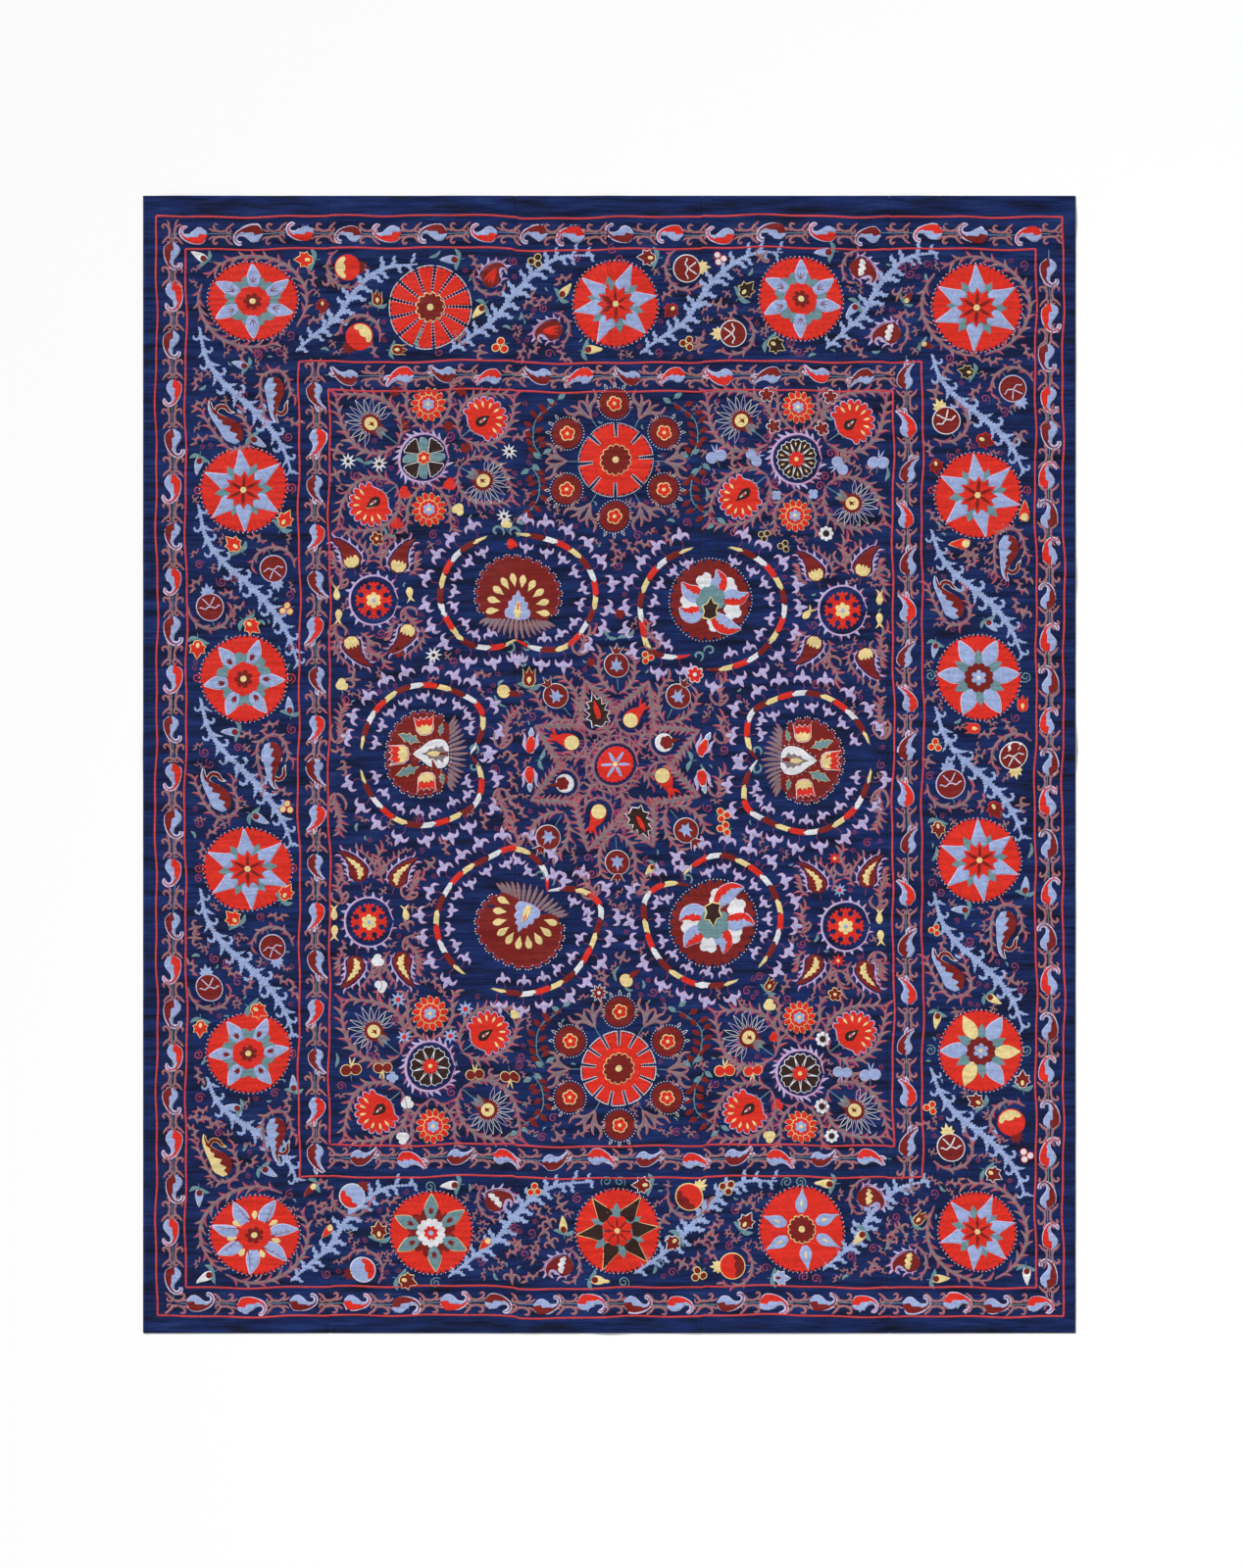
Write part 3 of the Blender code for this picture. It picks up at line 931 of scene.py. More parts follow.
def borderMotifs():
    # Named motifs of the fillings. Each points up its y axis and is laid down by the tables below
    def twoDrop(tip, head, edge):
        # Drop with a pointed tip of one colour and a round head of another
        body = edged(tip, edge, 1, [(0, 2.5), (0, -1.5)], [0.05, 0.45, 0.85, 1, 0.6], 8, 5, 0.14)
        return body + moved(disc(head, 3, 0.78, rows=13), 0, -0.75)

    def sagePair(y=-2):
        made = []
        for side in (-1, 1):
            made += moved(leaf("sage", 1, 2.7, 0.52, 0.35), 0, y, -side * 68)
        return made + stalk(0, y + 0.8, 0.2, y - 1.2)

    def blossom(body, edge, core="cream"):
        # Half open flower with three lobes a side and a pointed tip
        outline = closed(bothSides([(0, -1.5), (0.75, -1.3), (1, -0.6), (1.75, -0.3), (1.35, 0.35),
            (1.6, 1.2), (0.8, 1.15), (0.55, 1.6), (0, 2.6)]))
        made = outlined(body, edge, 1, outline, 0.15, (0, 0.1), (0,))
        return made + moved(disc(core, 4, 0.42, rows=9), 0, -0.4, squash=1.5)

    def tulip(body, core, edge):
        outline = closed(bothSides([(0, -1.6), (0.9, -1.3), (1.25, -0.4), (1.1, 0.7), (1.3, 2), (0.55, 1.1),
            (0, 2.4)]))
        made = outlined(body, edge, 1, outline, 0.15, rings=(0,))
        return made + moved(drop(core, 4, 1.5, 0.45), 0, -1.1)

    def fruit(body, base, edge, crownColour, lined=False):
        # Pomegranate with a spiky crown: below a scalloped line it has a second colour, or it is one
        # colour with the scalloped line and a notch under the crown drawn in pale thread
        radius = 2.85
        made = disc(edge, 1, radius + 0.18, rows=33) + disc(body, 2, radius, rows=33)
        angle = np.radians(np.linspace(200, 340, 13))
        low = 0.97 * polar(radius, angle)
        high = np.stack([low[:, 0], -0.9 + 0.55 * np.abs(np.sin(np.linspace(0, 3 * np.pi, 13)))], 1)
        high[[0, -1], 1] = low[[0, -1], 1]
        if lined:
            made += ribbon(base, 3, high[1:-1] + (0, 0.5), 0.22, 13)
            made += ribbon(base, 3, [(-1.5, 2.3), (-0.75, 1.3), (0, 0.4), (0.75, 1.3), (1.5, 2.3)], 0.22, 9)
        else:
            made += between(base, 3, low, high)
        for lean, reach in ((-62, 1.7), (-32, 2.1), (0, 2.5), (32, 2.1), (62, 1.7)):
            made += moved(ribbon(crownColour, 2, [(0, 0), (0, reach)], [0.45, 0.5, 0.05], 5), 0, 2.7, lean)
        return made

    def bracket(reach=4.6, fromDeg=-150, toDeg=40):
        # Barbed vine round one side and a short stalk
        made = arcVine(reach, reach, fromDeg, toDeg, halfWidth=0.3, thorn=1.2, sides=(1, -1))
        return made + stalk(0, -2.9, 0.3, -4.4)

    def boteh(left, right, edge, fringe):
        # Large boteh with its head down, a long tail and a second curled one, and a barbed vine along
        # its outer side
        spine = [(0.5, -4.7), (0.4, -3), (0, -1), (-0.9, 1), (-1.6, 2.9), (-1.8, 4.6), (-1.3, 6.3)]
        made = twoTone(spine, [0.9, 2.25, 2.3, 1.55, 0.85, 0.5, 0.08], left, right, edge, teeth=4, bite=0.6,
            shift=-0.1, rows=25, rim=0.2)
        made += edged(right, edge, 1, [(-1.5, 3), (-0.1, 4.3), (1.3, 3.7), (1.7, 2.5), (2.6, 1.6)],
            [0.25, 0.42, 0.4, 0.28, 0.04], 10, 3, 0.17)
        made += vine([(2.4, -5.4), (0.6, -6.3), (-1.9, -5.3), (-3, -2.8), (-3.6, 0.2), (-3.8, 3),
            (-3.9, 5)], 0.3, 14, 1.4, (1, -1), 30, fringe)
        made += vine([(0.8, -6.6), (2.9, -5.6), (4, -3.2), (3.8, -0.6), (4.4, 1.6)], 0.28, 10, 1.3, (1, -1),
            32, fringe)
        return made + stalk(0.4, -4.9, 0.7, -6.6)

    def roundBoteh(wave=True):
        # Round boteh outlined in lilac with barbs, filled with a white wave or with scarlet streaks
        spine = [(0.1, -2.9), (0, -1.2), (-0.4, 0.6), (-0.2, 2.4), (0.9, 3.6), (2.6, 3.5)]
        widths = np.array([0.8, 2.45, 2.15, 1.15, 0.55, 0.06])
        made = ribbon("lilac", 1, spine, widths + 0.34, 14) + ribbon("maroon", 2, spine, widths, 14, 5)
        if wave:
            lobes = [(-2, -1), (-1.5, 0.1), (-0.9, -0.6), (-0.3, 0.6), (0.4, -0.3), (0.9, 0.6), (1.5, -0.2)]
            made += ribbon("white", 4, lobes, 0.46, 19)
        else:
            for x in (-1.1, 0, 1):
                made += ribbon("scarlet", 4, [(x, -1.9), (x * 0.6, 0), (x * 0.3 + 0.2, 2)],
                    [0.12, 0.4, 0.05], 7)
        line, normal, width = edges(spine, widths + 0.45, 24)
        for side in (-1, 1):
            outer = line + side * width[:, None] * normal
            made += vine(outer[2:23:4], 0.14, 7, 1, (side,), 36, "lilac", "rose", 0.09, tips="lilac")
        return made + arcVine(4.6, 4.6, -170, -20, halfWidth=0.3, thorn=1.2, sides=(1, -1))

    def berries(body, edge):
        made = ribbon("sage", 1, [(0, -1.6), (0, 0.4)], 0.08, 4)
        for x, y in ((-0.95, 0), (0.95, 0.2), (0, 1.7)):
            made += moved(disc(edge, 1, 0.98, rows=15) + disc(body, 2, 0.8, rows=15), x, y)
        return made

    def doubleSpiral(colour="rose", size=1):
        one = moved(spiral(size, colour), 1.3 * size, 0.3)
        return paired(one)

    triple = doubleSpiral() + moved(spiral(1, "rose", 1.3, 1.4), -0.4, 2.1)
    fleurSide = stroke([(0, -1.3), (0.15, 0.2), (0.9, 0.9), (1.7, 0.4), (1.5, -0.2)],
        [0.08, 0.17, 0.18, 0.14, 0.05], 10, 0.14)
    fleur = paired(fleurSide) + moved(leaf("taupe", 1, 3.1, 0.22, 0, "salmon"), 0, -0.9)
    return {
        "dropSky": twoDrop("sky", "maroon", "white") + sagePair(),
        "dropWhite": twoDrop("white", "maroon", "white") + sagePair(),
        "dropCream": twoDrop("cream", "maroon", "cream") + sagePair(),
        "dropRed": twoDrop("scarlet", "cream", "cream"),
        "dropMaroon": twoDrop("maroon", "cream", "salmon") + sagePair(),
        "flowerRed": blossom("scarlet", "cream") + sagePair(),
        "flowerWhite": blossom("maroon", "white") + sagePair(),
        "flowerCream": blossom("maroon", "cream") + sagePair(),
        "flowerDark": blossom("dark", "cream") + sagePair(),
        "flowerPlain": blossom("maroon", "scarlet"),
        "flowerSky": blossom("sky", "white", "maroon") + sagePair(),
        "tulipMaroon": tulip("maroon", "cream", "cream") + sagePair(),
        "tulipRed": tulip("scarlet", "cream", "salmon"),
        "fruitRed": fruit("scarlet", "cream", "scarlet", "maroon") + bracket(),
        "fruitMaroon": fruit("maroon", "white", "white", "cream", True) + bracket(),
        "fruitSplit": fruit("sky", "scarlet", "white", "maroon") + bracket(),
        "fruitFlame": fruit("scarlet", "maroon", "cream", "cream") + bracket(),
        "creamBoteh": recolour(roundBoteh(), {"white": "cream"}),
        "fruitVee": fruit("maroon", "pale", "pale", "sky", True) + bracket(4.7, -190, -10),
        "boteh": boteh("sky", "maroon", "white", "taupe"),
        "botehCream": boteh("cream", "maroon", "cream", "taupe"),
        "botehLilac": roundBoteh(False),
        "waveBoteh": roundBoteh(),
        "berriesRed": berries("scarlet", "cream"),
        "berriesMaroon": berries("maroon", "cream"),
        "berriesWhite": berries("white", "scarlet"),
        "berriesDark": berries("dark", "cream"),
        "berriesCream": berries("cream", "scarlet"),
        "spiral": spiral(),
        "spirals": doubleSpiral(),
        "threeSpirals": triple,
        "sageSpiral": spiral(1.1, "sage"),
        "sageSpirals": doubleSpiral("sage", 1.1),
        "coralSpiral": spiral(1.3, "coral", 1.5, 0),
        "fleur": fleur,
        "sagePair": sagePair(0),
        "sageLeaf": leaf("sage", 1, 4, 0.5, 0.6),
    }


motifs = borderMotifs()

# Knotted leaves: start x, y and end x, y in the photograph
knottedLeaves = [
    (301, 359, 426, 270), (459, 361, 607, 260), (653, 361, 800, 259), (842, 356, 959, 258),
    (295, 1308, 426, 1209), (456, 1304, 606, 1206), (646, 1300, 793, 1206), (839, 1297, 950, 1206),
    (202, 333, 297, 485), (202, 514, 305, 680), (204, 712, 298, 865), (203, 906, 299, 1060),
    (211, 1098, 304, 1207),
    (951, 362, 1045, 483), (950, 540, 1044, 669), (953, 721, 1044, 855), (952, 911, 1044, 1050),
    (950, 1089, 1047, 1220),
]
for k, (x1, y1, x2, y2) in enumerate(knottedLeaves):
    knottedLeaf(at(x1, y1), at(x2, y2), "level" if k < 8 else "upright", 1 if k % 2 else -1)

# Rings of barbed vine round the corner rosettes: middle x, y, half width, half height, from and to degrees
cornerVines = [
    (-76.5, 99.4, 11.5, 9.8, -35, 148), (-76.5, 99.4, 11.6, 9.8, 158, 298),
    (78.6, 98.4, 11.4, 10.5, -80, 130), (78.6, 98.4, 11.6, 10.6, 140, 275),
    (-75.9, -100.9, 11.6, 10.3, 60, 230), (-75.9, -100.9, 11.4, 10.2, 235, 390),
    (79, -100.2, 10.6, 10.5, -70, 110), (79, -100.2, 10.6, 10.5, 150, 285),
]
for x, y, halfWidth, halfHeight, fromDeg, toDeg in cornerVines:
    stitchOn(arcVine(halfWidth, halfHeight, fromDeg, toDeg, halfWidth=0.36, thorn=1.6, sides=(1, -1)), x, y)


def layDown(table):
    # Works named motifs into the cloth. For each: x and y in the photograph, heading (where none is
    # given it follows from the place) and size if it isn't 1 (negative: mirrored)
    for name, places in table.items():
        for px, py, *more in places:
            heading = more[0] if more else (7 * px + 13 * py) % 360
            size = more[1] if len(more) > 1 else 1
            stitchOn(motifs[name], *at(px, py), heading - 90, abs(size), 1 if size > 0 else -1)


topFillings = {
    "dropWhite": [(205, 262, 150, 0.9)],
    "flowerRed": [(313, 266, 180)],
    "flowerPlain": [(328, 312, -90, 0.8), (685, 315, 225, 0.9)],
    "fruitRed": [(355, 274, 0, 0.92), (367, 344, 225, 0.98)],
    "tulipMaroon": [(384, 306, 90, 0.85), (407, 357, 0, 0.85)],
    "sageLeaf": [(437, 264, 30, 0.8)],
    "dropSky": [(460, 266, 180, 0.95), (842, 258, 180, 0.95), (869, 316, 225, 0.9)],
    "botehLilac": [(501, 283, 60, 0.86), (562, 336, 180, -0.86)],
    "dropCream": [(489, 318, 225, 0.9), (575, 297, 45, 0.9), (604, 357, 0, 0.95)],
    "berriesRed": [(513, 353, 200, 0.95)],
    "berriesDark": [(546, 267, 60, 0.85)],
    "spirals": [(630, 259), (812, 355)],
    "flowerWhite": [(662, 263, 180)],
    "fruitMaroon": [(701, 273, 0), (747, 341, 180, -0.98)],
    "berriesWhite": [(733, 264, 0, 0.8)],
    "berriesMaroon": [(703, 349, 180, 0.85)],
    "flowerDark": [(760, 297, 45), (790, 353, -30)],
    "waveBoteh": [(879, 274, -20, 0.88), (906, 340, 180, -0.88)],
    "dropMaroon": [(926, 305, 60, 0.7), (945, 353, -20, 0.7)],
    "threeSpirals": [(926, 270)],
    "spiral": [(262, 360), (630, 352), (588, 262)],
    "sagePair": [(425, 345, 0, 0.9)],
    "fleur": [(780, 262), (470, 345), (336, 285)],
}
bottomFillings = {
    "dropSky": [(273, 1195, -30, 0.9), (203, 1221, -90, 0.9)],
    "dropMaroon": [(318, 1214, 225, 0.85)],
    "dropRed": [(335, 1257, 225, 0.8), (496, 1270, 225, 0.85)],
    "dropWhite": [(210, 1303, 210, 0.95), (461, 1211, 180, 0.95), (1047, 1300, -90, 0.9)],
    "fruitSplit": [(360, 1221, 45, 0.92), (370, 1296, 200, 0.92)],
    "fruitFlame": [(703, 1220, 45), (747, 1292, 180, -0.95)],
    "flowerCream": [(387, 1257, 90), (414, 1307, -20)],
    "sageSpiral": [(439, 1211, 90), (444, 1310, 180), (356, 1254, 0, 0.9), (636, 1309, 90),
        (673, 1288, 180)],
    "waveBoteh": [(507, 1226, 30, 0.88), (573, 1291, 180, -0.86)],
    "creamBoteh": [(886, 1222, -10, 0.88), (926, 1288, 180, -0.86)],
    "spiral": [(525, 1254), (490, 1288), (868, 1282), (285, 1262), (590, 1222)],
    "fleur": [(521, 1305), (930, 1210)],
    "berriesRed": [(546, 1216, 90, 0.8)],
    "dropCream": [(575, 1250, 90, 0.9), (610, 1306, -10, 0.95), (842, 1208, 180, 0.95),
        (878, 1262, 225, 0.95), (957, 1305, 0, 0.9)],
    "sageSpirals": [(625, 1207, 90), (809, 1209, 90)],
    "flowerWhite": [(656, 1209, 180), (688, 1267, 225, 0.95), (761, 1249, 60)],
    "berriesMaroon": [(740, 1214, 40, 0.9), (714, 1298, 220, 0.9)],
    "flowerSky": [(795, 1305, 0, 0.9)],
    "tulipMaroon": [(938, 1244, 45, 0.85)],
    "spirals": [(826, 1306), (786, 1262)],
}
leftFillings = {
    "boteh": [(232, 432, 115, 0.96), (282, 405, -75, -0.9), (279, 778, -70, -0.92), (222, 808, 110, 0.94),
        (283, 1160, -75, -0.88)],
    "dropSky": [(247, 372, 160, 0.85), (262, 450, -35, 0.9), (202, 474, -100, 0.9), (295, 722, 90, 0.9),
        (236, 746, 180, 0.9), (265, 834, -30, 0.95), (300, 1108, 90, 0.85), (240, 1130, 170, 0.85)],
    "flowerRed": [(291, 532, 60), (240, 556, 135), (256, 638, -40), (202, 661, -90), (291, 912, 60, 0.95),
        (239, 937, 135, 0.95), (262, 1030, -30), (204, 1048, -90, 0.9)],
    "fruitVee": [(279, 580, -80, 0.98), (214, 619, 100), (279, 967, -75, 0.95), (214, 1008, 100, 0.98)],
    "berriesCream": [(294, 621, 200, 0.8), (296, 824, 200, 0.8)],
    "botehCream": [(222, 1180, 110, 0.9)],
    "spiral": [(263, 362), (247, 402), (294, 446), (300, 660), (208, 768), (297, 745), (205, 1120),
        (262, 1210)],
    "spirals": [(231, 590), (226, 978)],
    "coralSpiral": [(297, 692, 0, 0.9), (202, 692, 0, -0.9), (297, 499, 0, 0.9), (202, 500, 0, -0.9),
        (202, 886, 0, -0.8), (298, 886, 0, 0.8), (202, 1076, 0, -0.8), (298, 1076, 0, 0.8)],
}
rightFillings = {
    "flowerDark": [(988, 379, 170, 0.85)],
    "fruitVee": [(1034, 396, -60, 0.98), (970, 800, 100, 1.06)],
    "fruitMaroon": [(965, 430, 115), (1034, 770, -80), (969, 1171, 100, 1.02)],
    "flowerPlain": [(1003, 448, -20), (954, 475, -80, 0.85), (1015, 824, -60)],
    "spiral": [(969, 366), (1024, 419), (970, 467), (1041, 640), (990, 960), (1042, 1010)],
    "dropRed": [(1046, 523, 90, 1.1), (981, 555, 180, 1.1)],
    "boteh": [(1029, 565, -80, -0.9), (968, 612, 110, 0.92), (1027, 950, -80, -0.92),
        (968, 992, 110, 0.94)],
    "dropSky": [(1011, 637, -45, 0.8), (954, 663, -100, 0.8), (1046, 904, 90, 0.9), (981, 928, 180, 0.9)],
    "tulipRed": [(1043, 719, 90, 0.9), (992, 743, 180, 0.9)],
    "berriesRed": [(956, 760, 200, 0.8), (957, 950, 180, 0.7), (952, 1131, 180, 0.8)],
    "flowerCream": [(957, 845, -90, 0.9)],
    "dropCream": [(1012, 1018, -30, 0.85), (955, 1040, -100, 0.85)],
    "flowerWhite": [(1044, 1102, 90, 0.95), (996, 1124, 150, 0.95), (1012, 1197, -30, 0.95)],
    "berriesWhite": [(1044, 1178, 0, 0.85)],
    "fruitRed": [(1031, 1144, -70, 0.98)],
    "spirals": [(1018, 592)],
    "coralSpiral": [(1047, 500, 0, 0.8), (951, 500, 0, -0.8)],
    "sageSpiral": [(1046, 690, 0), (950, 690, 0, -1), (1047, 1071, 0), (950, 1072, 0, -1)],
    "sageLeaf": [(950, 880, 75, 0.9), (1047, 875, 75, 0.9)],
    "fleur": [(1041, 447), (952, 400)],
}
for table in (topFillings, bottomFillings, leftFillings, rightFillings):
    layDown(table)
print("border fillings drawn")

# ---- the four squares of the field

ogiveLength = 16.5   # cm


def ogive():
    # Pointed oval of barbed vine, its base at the origin and its tip up the y axis
    side = vine([(-0.2, 0.2), (-3.4, 1.7), (-5.5, 5.2), (-5.3, 9.4), (-3, 13.2), (0.3, 16.6)], 0.36, 22,
        1.5, (1, -1), 30, skip=0.05)
    return paired(side)


def outlineSpike(length, halfWidth, colour="white", layer=3):
    # Narrow leaf shown by its outline only: a thin line up each side to the tip
    side = ribbon(colour, layer, [(0.1, 0), (halfWidth, length * 0.45), (0, length)], [0.06, 0.065, 0.05],
        6)
    return paired(side)


def spikyPalmette():
    # Cream disc on a maroon star in a half ring of outlined spikes, with a calyx and stalk below
    made = outlined("cream", "maroon", 3, scallops(1.45, rows=21))
    made += star("maroon", 1, 12, 2.9, 1.9) + spread("maroon", 5,
        closed([(0, -0.9), (0.75, -0.1), (0.35, 0), (0.2, 0.7), (-0.2, 0.1), (-0.75, 0.4), (-0.3, -0.2)]),
        (0,))
    for k in range(13):
        turn = -114 + 19 * k
        reach = 3 + 0.6 * np.cos(np.radians(turn)) + 0.25 * np.sin(2.7 * k)
        spot = np.radians(turn + 90)
        made += moved(outlineSpike(reach, 0.42, "white" if k % 3 else "lilac"), 2.1 * np.cos(spot), 2.1
            * np.sin(spot), turn)
    for turn in (-158, -180, -202):
        made += moved(leaf("sage" if turn == -180 else "taupe", 1, 2.9, 0.55), 0, -1.2, turn)
    return made + stalk(0, -3.6, 0.1, -7.4, 0.11)


def redFan():
    # Scarlet lobed fan with cream drops and a bud of dark and cream
    angle = np.radians(np.linspace(-42, 222, 49))
    reach = 4.8 * (0.8 + 0.2 * np.abs(np.sin(np.linspace(0, 12 * np.pi, 49))) ** 0.6)
    arc = polar(reach, angle)
    made = outlined("scarlet", "lilac", 1,
        np.vstack([arc, [(-1.7, -3.3), (0, -3.9), (1.7, -3.3)], arc[:1]]), 0.2, (0, 0))
    for k in range(7):
        turn = -90 + 30 * k
        spot = np.radians(turn + 90)
        made += moved(drop("cream", 3, 1.6, 0.42), 2.3 * np.cos(spot), 0.1 + 2.1 * np.sin(spot), turn)
    made += edged("dark", "cream", 3, [(0, -2.3), (0, 1.3)], [0.4, 1.05, 0.95, 0.5, 0.05], 8, 5, 0.12)
    made += ribbon("white", 5, [(0, -1.7), (0, 0.6)], [0.3, 0.6, 0.4, 0.04], 6)
    made += ribbon("scarlet", 6, [(0, -1.5), (0, 0)], [0.1, 0.3, 0.04], 5)
    for turn in (150, 180, 210):
        made += moved(leaf("sage" if turn == 180 else "taupe", 1, 2.6, 0.55), 0, -1.9, turn)
    return made + stalk(0, -3.8, -0.1, -7.2, 0.11)


def notchedRosette():
    # Scarlet rosette of fourteen lobes edged in cream, sky flower in the middle, in a frame of vine
    made = around(edged("scarlet", "cream", 1, [(0, 1.2), (0, 3.6)], [0.25, 0.42, 0.56, 0.4], 7), 13)
    made += outlined("scarlet", "cream", 3, scallops(2.1, 13, 0.12), 0.12)
    made += disc("sky", 5, 1.4, 6, 0.3) + disc("cream", 6, 0.45, rows=11)
    side = vine([(0, -5.9), (-2.9, -3.7), (-4.6, -0.6), (-4.5, 2.4), (-5.3, 4.3)], 0.3, 12, 1.2, (1, -1),
        36)
    return made + paired(side)


def darkWheel(petals=10, drops=False):
    # Dark petals edged in white round a scarlet flower, with or without a cream drop in each
    made = []
    half = 4.2 * np.sin(np.pi / petals) * 0.88
    shape = closed([(0, 1), (half * 0.55, 2.4), (half, 3.6), (half * 0.55, 4.25), (0, 4),
        (-half * 0.55, 4.25), (-half, 3.6), (-half * 0.55, 2.4)])
    for k in range(petals):
        one = outlined("dark", "white", 1, shape, 0.15, (0, 3), (0,))
        if drops:
            one += moved(drop("cream", 4, 1.1, 0.2), 0, 2.6)
        made += moved(one, turn=360 * k / petals)
    made += outlined("scarlet", "scarlet", 3, scallops(1.7, 8, 0.25), 0.05)
    return made + disc("cream", 5, 0.5, rows=11)


def quarteredWheel():
    # Four dark scalloped quarters and four sage petals, all edged in white
    made = []
    angle = np.radians(np.linspace(20, 70, 15))
    rim = 4.35 + 0.25 * np.abs(np.sin(np.linspace(0, 4 * np.pi, 15)))
    quarter = np.vstack([[(1.2, 0.9)], polar(rim, angle), [(0.9, 1.2)], [(1.2, 0.9)]])
    for k in range(4):
        made += moved(outlined("dark", "white", 1, quarter, 0.15, (2.2, 2.2), (0,)), turn=90 * k)
        made += moved(edged("sage", "white", 1, [(0, 0.9), (0, 4.4)], [0.3, 0.75, 0.95, 0.5], 8, 5, 0.13),
            turn=90 * k)
    made += outlined("scarlet", "cream", 4, scallops(1.4, 6, 0.25), 0.13)
    return made + disc("cream", 6, 0.5, rows=11)


fieldMotifs = {
    "spiky": spikyPalmette(),
    "fan": redFan(),
    "notched": notchedRosette(),
    "wheel10": darkWheel(10, True),
    "wheel9": darkWheel(9),
    "quartered": quarteredWheel(),
    "ogive": ogive(),
    "daisy": star("white", 1, 9, 1.95, 0.8) + disc("dark", 3, 0.45, rows=9),
    "skyStar": star("sky", 1, 8, 1.9, 0.9) + disc("scarlet", 3, 0.55, rows=9),
    "daisyRed": outlined("maroon", "white", 1, starEdge(9, 1.9, 1), 0.13, (0, 0), (0,))
        + disc("white", 4, 0.4, rows=9),
    "redStar": star("scarlet", 1, 8, 1.8, 0.8) + disc("cream", 3, 0.4, rows=9),
    "whiteFlower": around(moved(disc("white", 1, 0.42, rows=9), 0, 0.95), 8)
        + disc("dark", 2, 0.55, rows=9),
    "starFlower": outlined("maroon", "cream", 1, scallops(1.45, 5, 0.35)) + disc("cream", 4, 0.4, rows=9),
    "redFlower": outlined("scarlet", "white", 1, scallops(1.6, 7, 0.3), 0.16)
        + disc("white", 4, 0.42, rows=9),
    "trefoilRed": disc("scarlet", 1, 1.35, 3, 0.4, start=30)
        + ribbon("sage", 1, [(0, -0.6), (0.1, -1.8)], 0.12, 4),
    "trefoilWhite": disc("white", 1, 1.35, 3, 0.4, start=30)
        + ribbon("sage", 1, [(0, -0.6), (0.1, -2.2)], 0.16, 4),
    "trefoilCream": disc("cream", 1, 1.3, 3, 0.4, start=30)
        + ribbon("sage", 1, [(0, -0.6), (0.1, -1.8)], 0.12, 4),
    "maroonBud": disc("maroon", 1, 1.4, 5, 0.35, start=30),
    "skyBud": disc("sky", 1, 1.2, 4, 0.3),
    "outlineFlower": outlined("maroon", "white", 1, scallops(1.55, 5, 0.42), 0.15),
    "hookLeaf": curl("sage", 1, 1.25, 0.75, 0.26, 12, 0.6),
}
for name, colour in (("fruitsSky", "sky"), ("fruitsMaroon", "maroon"), ("fruitsScarlet", "scarlet")):
    pair = outlined(colour, "lilac" if colour == "sky" else "cream", 1, scallops(1.15, rows=17), 0.13)
    twin = moved(pair, -1.05) + moved(pair, 1.05, 0.2)
    for lean in (-20, 12):
        twin += moved(ribbon(colour if colour == "sky" else "cream", 1, [(0, 0), (0, 2.3)],
            [0.12, 0.22, 0.03], 5), 0, 0.7, lean)
    fieldMotifs[name] = twin + ribbon("taupe", 1, [(0, -0.4), (0.2, -2.4)], 0.1, 5)
motifs.update(fieldMotifs)


def layOgive(base, tip, name):
    # Ogive from its base to its tip, with a palmette or fan inside it
    run = np.array(tip) - np.array(base)
    length = np.hypot(*run)
    turn = np.degrees(np.arctan2(run[1], run[0])) - 90
    stitchOn(motifs["ogive"], *base, turn, length / ogiveLength)
    stitchOn(motifs[name], *(np.array(base) + 0.44 * run), turn)


# Each square: middle in the photograph, radius of its ring, wheel, the four ogives as base, tip and what is
# inside, all in cm from the middle, and the rosettes above and below
squares = [
    ((431.8, 468), 5.3, "quartered",
        [((-5.6, 2.8), (-18.7, 13.5), "spiky"), ((8, 4.1), (19.7, 13.5), "fan"),
        ((7.7, -2), (19.7, -9.1), "spiky"), ((-5.6, -5.6), (-18.2, -15.3), "fan")],
        [(437, 413, 90, 1), (438, 521, -90, 1)]),
    ((812.2, 469.5), 5.4, "wheel10",
        [((-5.8, 3.2), (-19.3, 14.6), "spiky"), ((6.2, 3.5), (19.7, 14.4), "fan"),
        ((6.2, -5.7), (19.4, -13.7), "spiky"), ((-6.4, -3.5), (-18.7, -13.7), "fan")],
        [(815, 417, 90, 0.95), (812, 527, -90, 0.95)]),
    ((439.4, 1089), 5.4, "wheel9", [((-6.4, 2.6), (-19.4, 14.2), "spiky"), ((6.9, 3), (19, 12.2), "fan"),
        ((6.6, -4.6), (19.4, -15.4), "spiky"), ((-6, -4.8), (-18.8, -15.8), "fan")],
        [(438, 1035, 90, 1.05), (441, 1150, -90, 1)]),
    ((817, 1096), 5.1, "wheel9", [((-5.6, 3.2), (-18.8, 13.4), "spiky"), ((6, 4.4), (18.2, 14.6), "fan"),
        ((6.2, -3.4), (18.6, -13.4), "spiky"), ((-6.2, -3.6), (-19, -13.8), "fan")],
        [(815, 1039, 90, 0.95), (817, 1151, -90, 0.95)]),
]
for middle, ringRadius, wheel, ogives, pair in squares:
    x, y = at(*middle)
    stitchOn(arcVine(ringRadius, ringRadius, 0, 356, 24, halfWidth=0.26, thorn=1.1, sides=(-1,), lean=35,
        colour="lilac", edge="rose", tips="lilac"), x, y)
    stitchOn(motifs[wheel], x, y, 3)
    for base, tip, name in ogives:
        layOgive((x + base[0], y + base[1]), (x + tip[0], y + tip[1]), name)
    for px, py, heading, size in pair:
        stitchOn(motifs["notched"], *at(px, py), heading - 90, size)
print("squares drawn")

